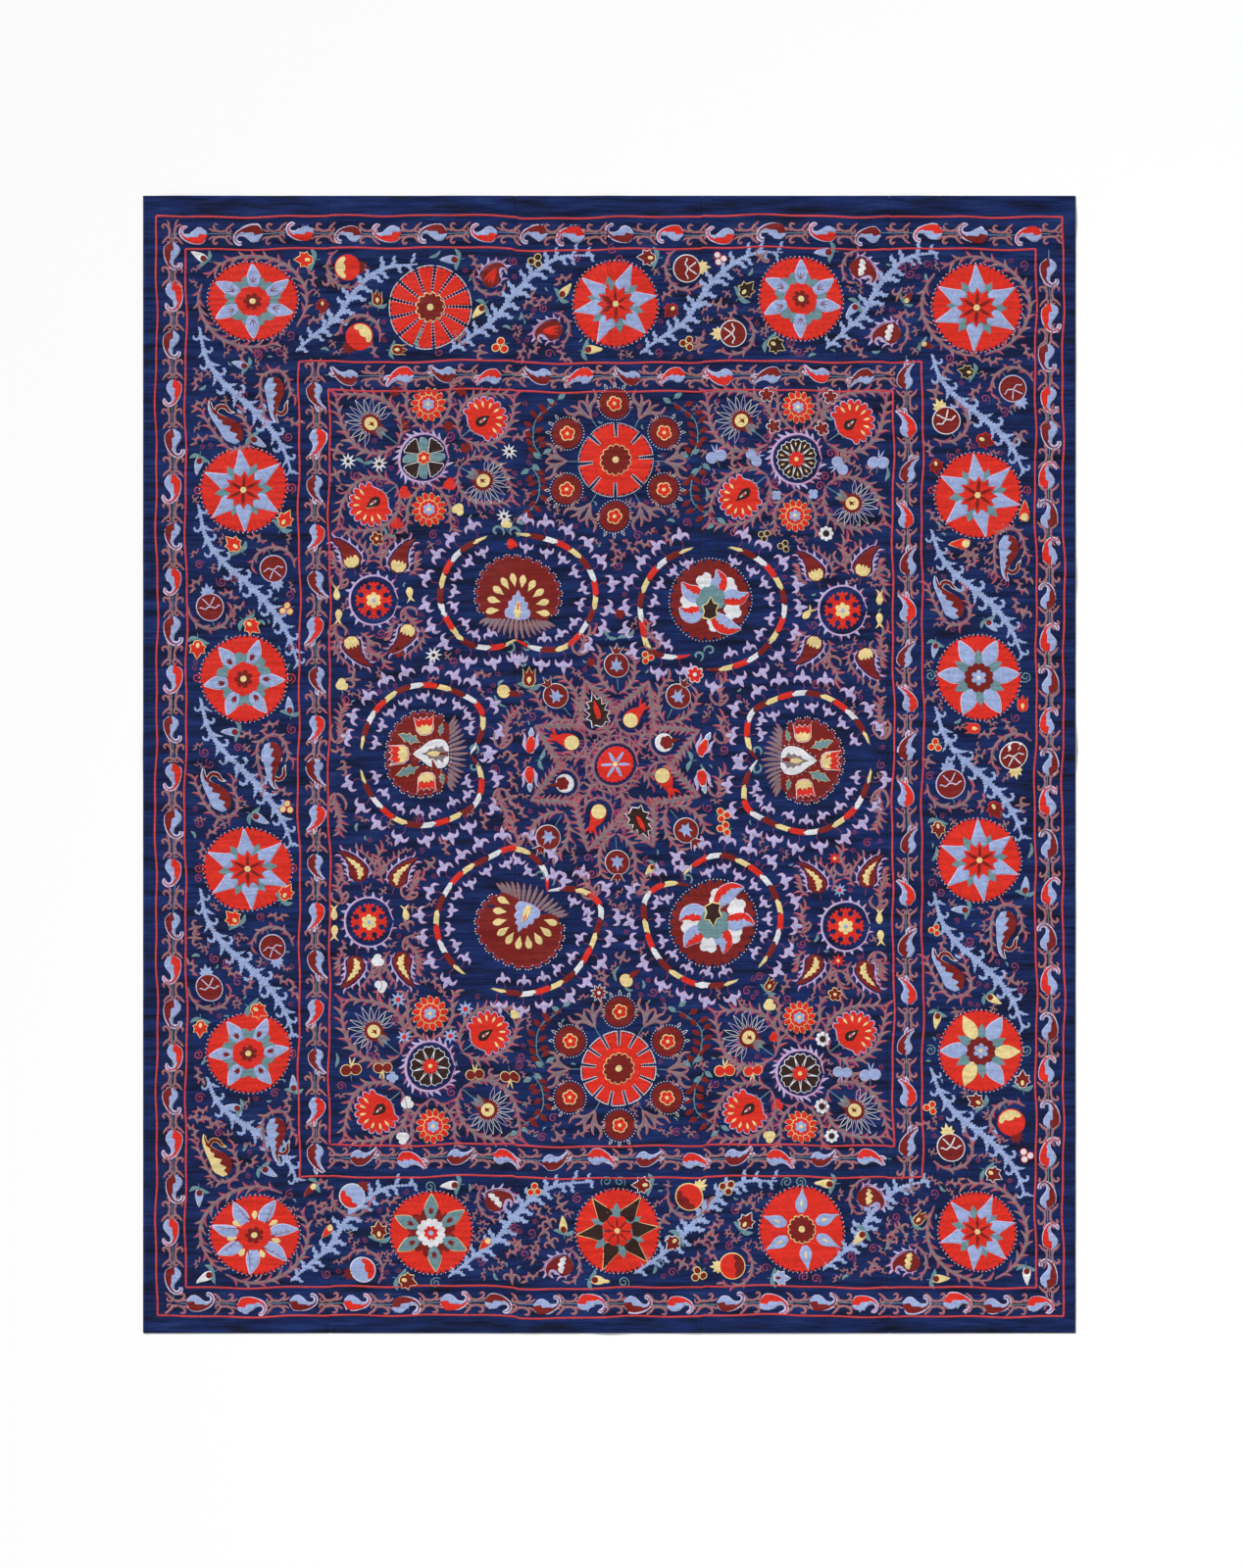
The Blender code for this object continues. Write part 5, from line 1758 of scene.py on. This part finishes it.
def starMotifs():
    # What stands in and round the points of the star
    crescent = outlined("white", "white", 1, scallops(2, rows=25), 0.02)
    crescent += moved(disc("maroon", 4, 1.5, 6, 0.15), 0.1, 0.55)
    crescent += ribbon("maroon", 4, [(0.1, 1.6), (0.2, 3.6)], [0.5, 0.3, 0.12], 5)
    nest = arcVine(3.1, 3.1, -195, 15, 9, halfWidth=0.22, thorn=1, sides=(-1,), tips="rose")
    crescent += nest
    darkLeaf = closed(bothSides([(0, -2.6), (0.9, -2), (1.5, -2.3), (1.3, -1.2), (2, -0.6), (1.2, -0.1),
        (1.9, 0.9), (1, 0.9), (1.2, 2), (0.4, 1.9), (0, 3.2)]))
    leafFlower = outlined("dark", "white", 1, darkLeaf, 0.16, (0, 0), (0,))
    leafFlower += edged("scarlet", "cream", 3, [(0, -1.2), (0, 2)], [0.3, 0.5, 0.06], 6, 3, 0.13)
    leafFlower += moved(nest, 0, -0.4)
    tail = [(0, -2.6), (0, -1.2), (0.2, 0.4), (0.8, 2), (0.9, 3.6)]
    redBoteh = ribbon("scarlet", 2, tail, [0.8, 1.75, 1.4, 0.7, 0.25], 13, 5)
    redBoteh += moved(outlined("cream", "maroon", 3, scallops(1.62, rows=25), 0.1), 0, -1.3)
    for knots in ([(0.8, 2.2), (1.7, 2.9), (2.4, 4.2)], [(0.7, 2.2), (-0.1, 3.2), (-0.3, 4.4)]):
        redBoteh += ribbon("scarlet", 2, knots, [0.35, 0.26, 0.05], 6)
    redBoteh += ribbon("maroon", 1, tail, [1, 1.9, 1.55, 0.85, 0.3], 13) + moved(nest, 0, -1.2)
    crowned = disc("white", 1, 2.74, rows=33) + disc("maroon", 2, 2.64, rows=33)
    flower = bothSides([(0, -1.6), (0.5, -0.9), (1.5, -1), (0.9, -0.1), (1.2, 1), (0.45, 0.5), (0, 2)])
    crowned += spread("sky", 3, closed(flower), (0,))
    crowned += outlined("maroon", "white", 2,
        closed(bothSides([(-0.5, 2.4), (-1.5, 4.1), (-0.4, 3.5), (0, 4.8)])), 0.11, (0, 3), (0,))
    for side in (-1, 1):
        crowned += vine([(0.2 * side, -6.2), (2.2 * side, -4.8), (3.6 * side, -2.6), (3.9 * side, 0.4),
            (3.3 * side, 2.8)], 0.34, 12, 1.35, (1, -1), 36)
    crowned += stalk(0, -2.8, 0.1, -5.6)
    lilyBud = edged("scarlet", "white", 1, [(0, -1.6), (0, 1.6)], [0.5, 0.9, 0.7, 0.2], 8, 5, 0.14)
    for side in (-1, 1):
        lilyBud += edged("lilac", "rose", 1, [(0.3 * side, -1.2), (1.2 * side, -0.2), (1.1 * side, 1.2),
            (1.5 * side, 2.2)], [0.2, 0.32, 0.25, 0.05], 7, 3, 0.08)
    lilyBud += moved(drop("sky", 2, 1.4, 0.4, "white"), 0, 2.9, 180)
    creamBud = outlined("cream", "maroon", 1, scallops(1.6, rows=21), 0.12)
    creamBud += ribbon("maroon", 3, [(0.2, 0.6), (0.9, 2.6), (1.6, 4)], [0.9, 0.6, 0.2])
    creamBud += moved(leaf("sage", 1, 4.2, 0.42, -0.9), -1.9, -1.6, 14)
    creamBud += moved(leaf("sage", 1, 2.4, 0.4, 0.4), 0.2, -1.6, -80)
    return {"crescent": crescent, "leafFlower": leafFlower, "redBoteh": redBoteh, "crowned": crowned,
        "lilyBud": lilyBud, "creamBud": creamBud}


motifs.update(starMotifs())
starFillings = {
    "leafFlower": [(609, 726, 105, 1.3), (653, 839, -62, 1.3)],
    "redBoteh": [(646, 730, 62), (680, 795, -45), (610, 834, -100), (577, 754, 150, -1)],
    "crescent": [(677, 757, 15), (577, 799, 190)],
    "crowned": [(630, 679, 90), (567, 709, 125), (692, 710, 62), (559, 853, -125), (700, 846, -55),
        (629, 880, -90)],
    "lilyBud": [(541, 758, 90, 1.15), (541, 790, -90, 1.15), (717, 762, 65, 1.15), (716, 794, -75, 1.15)],
    "sagePair": [(551, 774, 0, 0.9), (705, 776, 180, 0.9), (620, 650, 60, 0.8), (640, 650, 120, 0.8)],
    "tulipMaroon": [(540, 692, 90, 1.05), (785, 1007, 60, 0.8)],
    "creamBud": [(514, 706, -30, -0.9), (639, 1001, 60, 0.9)],
    "redFlower": [(710, 687, 0, 1.1)],
    "berriesRed": [(659, 671, 0, 0.75), (736, 832, 0, 0.85), (742, 846, 180, 0.85)],
    "dropCream": [(663, 887, 225, 0.7)],
    "fleur": [(521, 775), (523, 814)],
    "spray": [(735, 706, 80), (736, 745, 100), (733, 800, 80), (524, 850, 100), (655, 900, 60),
        (600, 905, 120), (596, 655, 60), (664, 650, 120)],
    "hookLeaf": [(507, 544, 90, 1.2), (527, 544, 90, -1.2), (521, 660, 0), (537, 660, 0, -1),
        (535, 676, 180), (483, 766, 60), (483, 783, -60, -1), (493, 773, 0), (771, 768, 60),
        (771, 786, -60, -1), (712, 668, 60), (724, 664, 60, -1), (560, 897, 60), (552, 893, 60, -1),
        (700, 895, 60)],
    "trefoilCream": [(517, 535, 90)],
    "spiral": [(505, 787), (735, 690), (738, 765), (651, 760), (598, 700), (660, 880)],
    "spirals": [(597, 889), (598, 763)],
    "maroonBud": [(604, 676, 0, 0.8), (632, 626, 90, 0.9)],
}
layDown(starFillings)
print("middle of the field drawn")

# ---- small sprigs and spirals where the cloth is still bare

sprigs = {
    # cm between the tried places, free cells needed round one, size of what is worked there
    "rounds": ((2.1, 2, 0.9), (1.85, 1, 0.55)),
    "drift": 0.9,        # cm by which a place is off the even steps
    "share": 0.95,       # share of the free places that gets one
    "cell": 0.4,         # cm, the grid on which bare cloth is found
    "half": (103, 125),  # cm, half the width and length of that grid
    # Left, right, bottom and top of where places are tried, of the field that the sprigs stay within
    # and of the bands that they stay outside
    "tried": (-88, 89, -109, 109),
    "field": (-58, 58.9, -79.8, 78.1),
    "bands": (-68, 68.7, -90.2, 87.8),
    "seed": 11,
}


def bareCloth():
    # Grid of cells over the cloth, True where no thread lies: every stitched point marks its cell
    bare = np.ones([int(2 * half / sprigs["cell"]) for half in sprigs["half"]], bool)
    for grids in stitched.values():
        for grid in grids:
            xy = grid[..., :2]
            middles = (xy[1:, 1:] + xy[:-1, :-1]) / 2
            for points in (xy.reshape(-1, 2), middles.reshape(-1, 2)):
                i, j = ((points + sprigs["half"]) / sprigs["cell"]).astype(int).T
                bare[i, j] = False
    return bare


def inRing(x, y):
    # Inside one of the ring medallions, where only lilies grow
    return any(np.hypot(x - ring["middle"][0], y - ring["middle"][1]) < max(ring["radii"]) + 1
        for ring in ringMedallions)


def within(x, y, box):
    left, right, bottom, top = box
    return left < x < right and bottom < y < top


def workSprigs():
    # Spirals and sprigs at slightly uneven steps over the border and the field
    rng = np.random.default_rng(sprigs["seed"])
    short = vine([(0, -1.8), (0.6, -0.5), (0.1, 0.8), (1, 1.9)], 0.26, 8, 0.85)
    kinds = [short, motifs["spiral"], short, spiral(1, "rose", 1.2, 1.3), motifs["fleur"],
        leaf("sage", 1, 2.2, 0.42, 0.4), short]
    left, right, bottom, top = sprigs["tried"]
    count = 0
    for step, reach, size in sprigs["rounds"]:
        bare = bareCloth()
        for x0, y0 in ((x0, y0) for x0 in np.arange(left, right, step)
                for y0 in np.arange(bottom, top, step)):
            x, y = rng.uniform(-sprigs["drift"], sprigs["drift"], 2) + (x0, y0)
            kind, turn, chance = rng.integers(len(kinds)), rng.uniform(0, 360), rng.random()
            inField = within(x, y, sprigs["field"]) and not inRing(x, y)
            inBorder = not within(x, y, sprigs["bands"])
            i, j = (int((p + half) / sprigs["cell"]) for p, half in zip((x, y), sprigs["half"]))
            free = bare[i - reach:i + reach + 1, j - reach:j + reach + 1]
            if chance < sprigs["share"] and free.all() and (inField or inBorder):
                stitchOn(kinds[kind], x, y, turn, size, 1 if kind % 2 else -1)
                free[:] = False
                count += 1
    return count


print("sprigs on bare cloth:", workSprigs())

# ---- materials

def feed(tree, socket, value):
    # Links another node's output to a socket, or sets the socket to a plain value
    if isinstance(value, bpy.types.NodeSocket):
        tree.links.new(value, socket)
    else:
        socket.default_value = value


def addNode(tree, kind, **sockets):
    # Node of a kind with some of its sockets fed; an underscore stands for a space in their names
    node = tree.nodes.new("ShaderNode" + kind)
    for name, value in sockets.items():
        feed(tree, node.inputs[name.replace("_", " ")], value)
    return node


def mathNode(tree, operation, *values):
    # Math node fed by sockets or plain numbers
    node = tree.nodes.new("ShaderNodeMath")
    node.operation = operation
    for socket, value in zip(node.inputs, values):
        feed(tree, socket, value)
    return node.outputs[0]


def tinted(tree, value, gain, shift, first, second):
    # Mix of two colours by the share value * gain + shift, held between 0 and 1
    node = tree.nodes.new("ShaderNodeMix")
    node.data_type = "RGBA"
    share = mathNode(tree, "MULTIPLY_ADD", value, gain, shift)
    for k, fed in ((0, share), (6, first), (7, second)):
        feed(tree, node.inputs[k], fed)
    return node.outputs[2]


def noiseNode(tree, vector, scale, detail=2):
    return addNode(tree, "TexNoise", Vector=vector, Scale=scale, Detail=detail).outputs["Fac"]


def mapped(tree, vector, **sockets):
    # Place moved, turned or scaled by a Mapping node
    return addNode(tree, "Mapping", Vector=vector, **sockets).outputs["Vector"]


def shade(colour, amount):
    # Each part of the colour times the amount
    return tuple(min(1, c * amount) for c in colour[:3]) + (1,)


def newMaterial(name, look):
    # Material with the constant parts of its look set on its shader
    material = bpy.data.materials.new(name)
    material.use_nodes = True
    shader = material.node_tree.nodes["Principled BSDF"]
    shader.inputs["Roughness"].default_value = look["roughness"]
    shader.inputs["Specular IOR Level"].default_value = look["specular"]
    shader.inputs["Sheen Weight"].default_value = look["sheen"]
    return material, shader


# Puckers that the stitching draws up: scale of the noise across and along the cloth, turn and share
puckerNoises = (((7, 58, 1), 0, 1), ((9, 42, 1), 0.35, 0.8), ((16, 120, 1), -0.12, 0.4),
    ((4, 17, 1), 0.28, 2.4))


def puckers(tree, place):
    # Sum of the noises, each times its share
    total = 0
    for scale, turn, share in puckerNoises:
        noise = noiseNode(tree, mapped(tree, place, Rotation=(0, 0, turn), Scale=scale), 1, 3)
        total = mathNode(tree, "MULTIPLY_ADD", noise, share, total)
    return total


threadLook = {
    "roughness": 0.6,
    "specular": 0.2,
    "sheen": 0.03,
    "rowShift": 0.37,  # share of a stitch by which a row is offset from the one beside it
    "flecks": 420,     # scales of the noises in its colour
    "mottle": 150,
    "drift": 9,
    "streaks": (2.4, 0.35, 1),
    "grooveShade": 0.55,    # how dark the painted shade is between two stitches
    "fine": 0.0004,    # metres, relief of the stitches and of the puckers under them
    "broad": 0.004,
}


def threadMaterial(name):
    # Silk chain stitch. Its relief is zigzag across the row ^ 0.6 * (1 + zigzag along the row) / 2,
    # and its colour is flecked, darkened between the stitches as painted shade, and changes slowly over the
    # cloth
    material, shader = newMaterial(name + "_thread", threadLook)
    tree = material.node_tree
    base = paint(threads[name]["colour"])
    uvMap = tree.nodes.new("ShaderNodeUVMap")
    uvMap.uv_map = "Stitches"
    place = uvMap.outputs["UV"]
    parts = addNode(tree, "SeparateXYZ", Vector=place)
    row = mathNode(tree, "DIVIDE", parts.outputs["Y"], stitch["row"])
    across = mathNode(tree, "PINGPONG", mathNode(tree, "MULTIPLY", row, 2), 1)
    offset = mathNode(tree, "MULTIPLY", mathNode(tree, "FLOOR", row), threadLook["rowShift"])
    run = mathNode(tree, "ADD", mathNode(tree, "DIVIDE", parts.outputs["X"], stitch["length"]), offset)
    along = mathNode(tree, "PINGPONG", mathNode(tree, "MULTIPLY", run, 2), 1)
    ridge = mathNode(tree, "POWER", across, 0.6)
    relief = mathNode(tree, "MULTIPLY", ridge, mathNode(tree, "MULTIPLY_ADD", along, 0.5, 0.5))
    spot = addNode(tree, "TexCoord").outputs["Object"]
    mottle = noiseNode(tree, spot, threadLook["mottle"], 3)
    flecks = noiseNode(tree, spot, threadLook["flecks"], 3)
    streaks = noiseNode(tree, mapped(tree, place, Scale=threadLook["streaks"]), 1, 3)
    colour = tinted(tree, mottle, 3.6, -1.3, shade(base, 0.68), shade(base, 1.18))
    colour = tinted(tree, flecks, 1.2, -0.35, colour, shade(base, 1.2))
    # painted shade: the colour darkens where the relief is low, between the stitches
    colour = tinted(tree, relief, 0.55, 0.45, shade(base, threadLook["grooveShade"]), colour)
    colour = tinted(tree, streaks, 2.8, -0.8, shade(base, 0.62), colour)
    colour = tinted(tree, noiseNode(tree, spot, threadLook["drift"]), 0.35, 0, colour, shade(base, 0.9))
    feed(tree, shader.inputs["Base Color"], colour)
    fine = addNode(tree, "Bump", Strength=0.7, Distance=threadLook["fine"], Height=relief)
    broad = addNode(tree, "Bump", Strength=0.6, Distance=threadLook["broad"],
        Height=puckers(tree, spot), Normal=fine.outputs["Normal"])
    feed(tree, shader.inputs["Normal"], broad.outputs["Normal"])
    return material


clothLook = {
    "roughness": 0.75,
    "specular": 0.15,
    "sheen": 0.02,
    "deep": (10, 31, 88),   # the two blues between which the ground drifts
    "lit": (23, 57, 140),
    "slub": (32, 58, 112),
    "mottle": (10, 20, 50),
    "wrinkleShade": (5, 12, 38),  # painted shade in the small creases, and painted highlight on them
    "wrinkleHighlight": (46, 74, 134),
    "weave": 320,           # scale of the weave
    "relief": 0.02,         # metres, of the puckers and the weave
}


def clothMaterial():
    # Navy cotton: each noise in turn tints the ground with a colour of its own, and a slanting crease noise
    # paints shade and highlight into it. The relief is the puckers and a plain weave, which is one wave
    # across times one along
    material, shader = newMaterial("navy_cotton", clothLook)
    tree = material.node_tree
    place = addNode(tree, "TexCoord").outputs["Object"]
    slubs = noiseNode(tree, mapped(tree, place, Scale=(900, 12, 1)), 1, 1)
    # slanting crease noise that only paints shade and highlight into the colour, with no relief
    wrinkleShading = noiseNode(tree, mapped(tree, place, Rotation=(0, 0, 0.3), Scale=(9, 46, 1)), 1, 4)
    ground = paint(clothLook["deep"])
    # the last two tints are painted shade in the creases and painted highlight on them
    for noise, gain, shift, colour in ((noiseNode(tree, place, 5, 3), 1.1, -0.1, "lit"),
            (slubs, 0.35, 0, "slub"), (noiseNode(tree, place, 140), 0.25, 0, "mottle"),
            (wrinkleShading, 3.6, -1.6, "wrinkleShade"), (wrinkleShading, -3.4, 1.4, "wrinkleHighlight")):
        ground = tinted(tree, noise, gain, shift, ground, paint(clothLook[colour]))
    feed(tree, shader.inputs["Base Color"], ground)
    weaves = []
    for axis in ("X", "Y"):
        wave = addNode(tree, "TexWave", Vector=place, Scale=clothLook["weave"])
        wave.bands_direction = axis
        weaves.append(wave.outputs["Fac"])
    height = mathNode(tree, "MULTIPLY_ADD", mathNode(tree, "MULTIPLY", *weaves), 0.08, puckers(tree, place))
    bump = addNode(tree, "Bump", Strength=1, Distance=clothLook["relief"], Height=height)
    feed(tree, shader.inputs["Normal"], bump.outputs["Normal"])
    return material


# ---- the pieces

def makeThreads(name):
    # All patches of one thread, laid on the face of the cloth
    points, quads, uvs, count = [], [], [], 0
    for grid in stitched[name]:
        rows, cols = grid.shape[:2]
        cell = (np.arange(rows - 1)[:, None] * cols + np.arange(cols - 1)[None]).reshape(-1)
        quad = np.stack([cell, cell + cols, cell + cols + 1, cell + 1], 1)
        flat = grid.reshape(-1, 5)
        a, b, c, d = (flat[quad[:, k], :2] for k in range(4))
        diagonals = np.cross(c - a, d - b).sum()
        if diagonals < 0:
            quad = quad[:, ::-1]
        points.append(flat[:, :3])
        uvs.append(flat[quad.reshape(-1), 3:])
        quads.append(quad + count)
        count += len(flat)
    points = np.concatenate(points)
    xy = handWobble(points[:, :2]) * cm
    face = clothHeight(xy[:, 0], xy[:, 1]) + cloth["thickness"]
    place = np.column_stack([xy, face + points[:, 2] * cm])
    made = meshObject(name + "_embroidery", place, np.concatenate(quads), np.concatenate(uvs),
        threadMaterial(name))
    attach(made, "root")
    return made


navy = clothMaterial()
embroidery = [makeThreads(name) for name in threads if stitched[name]]
print("embroidery made in", len(embroidery), "threads")
for index in range(cloth["panels"]):
    panel = makePanel(index, navy)
    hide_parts("panel_%d" % (index + 1))
    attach(panel, "root")

# ---- floor, light and camera

studio = {
    "floorSize": 9,
    "floorColour": (246, 246, 247),
    "floorLook": {"roughness": 0.9, "specular": 0.5, "sheen": 0},
    "floorDrop": 0.0004,  # metres below the cloth
    "worldStrength": 0.3,
    "keySoftness": 16,    # degrees across the key light, as seen from the cloth
    "keyStrength": 4.5,
    "keyPlace": (-2.2, 2.4, 1.75),
    "fillSize": 3.5,
    "fillPower": 40,
    "fillPlace": (2.2, -1.6, 4.2),
    "cameraHeight": 8,
    "cameraPlace": (0.0263, -0.0421),
    "viewHeight": 3.365,
    "sensor": 36,
}

floorMesh = bpy.data.meshes.new("floor")
half = studio["floorSize"] / 2
floorMesh.from_pydata([(-half, -half, 0), (half, -half, 0), (half, half, 0), (-half, half, 0)], [],
    [(0, 1, 2, 3)])
floorMaterial, floorShader = newMaterial("pale_floor", studio["floorLook"])
floorShader.inputs["Base Color"].default_value = paint(studio["floorColour"])
floorMesh.materials.append(floorMaterial)
floor = bpy.data.objects.new("floor", floorMesh)
floor.location.z = -studio["floorDrop"]
bpy.context.scene.collection.objects.link(floor)


def studioLight(name, kind, place, power):
    # Light that faces the middle of the cloth
    made = bpy.data.objects.new(name, bpy.data.lights.new(name, kind))
    made.data.energy = power
    made.location = place
    made.rotation_euler = (np.arctan2(np.hypot(place[0], place[1]), place[2]), 0,
        np.arctan2(place[0], -place[1]))
    bpy.context.scene.collection.objects.link(made)
    return made


key = studioLight("key_light", "SUN", studio["keyPlace"], studio["keyStrength"])
key.data.angle = np.radians(studio["keySoftness"])
fill = studioLight("fill_light", "AREA", studio["fillPlace"], studio["fillPower"])
fill.data.size = studio["fillSize"]

world = bpy.data.worlds.new("studio")
world.use_nodes = True
sky = world.node_tree.nodes["Background"]
sky.inputs["Color"].default_value = (1, 1, 1, 1)
sky.inputs["Strength"].default_value = studio["worldStrength"]
bpy.context.scene.world = world

cameraData = bpy.data.cameras.new("camera")
cameraData.sensor_fit = "VERTICAL"
cameraData.sensor_height = studio["sensor"]
cameraData.lens = studio["sensor"] * studio["cameraHeight"] / studio["viewHeight"]
camera = bpy.data.objects.new("camera", cameraData)
camera.location = (*studio["cameraPlace"], studio["cameraHeight"])
bpy.context.scene.collection.objects.link(camera)
bpy.context.scene.camera = camera
bpy.context.scene.view_settings.view_transform = "Standard"
print("floor, lights and camera set")
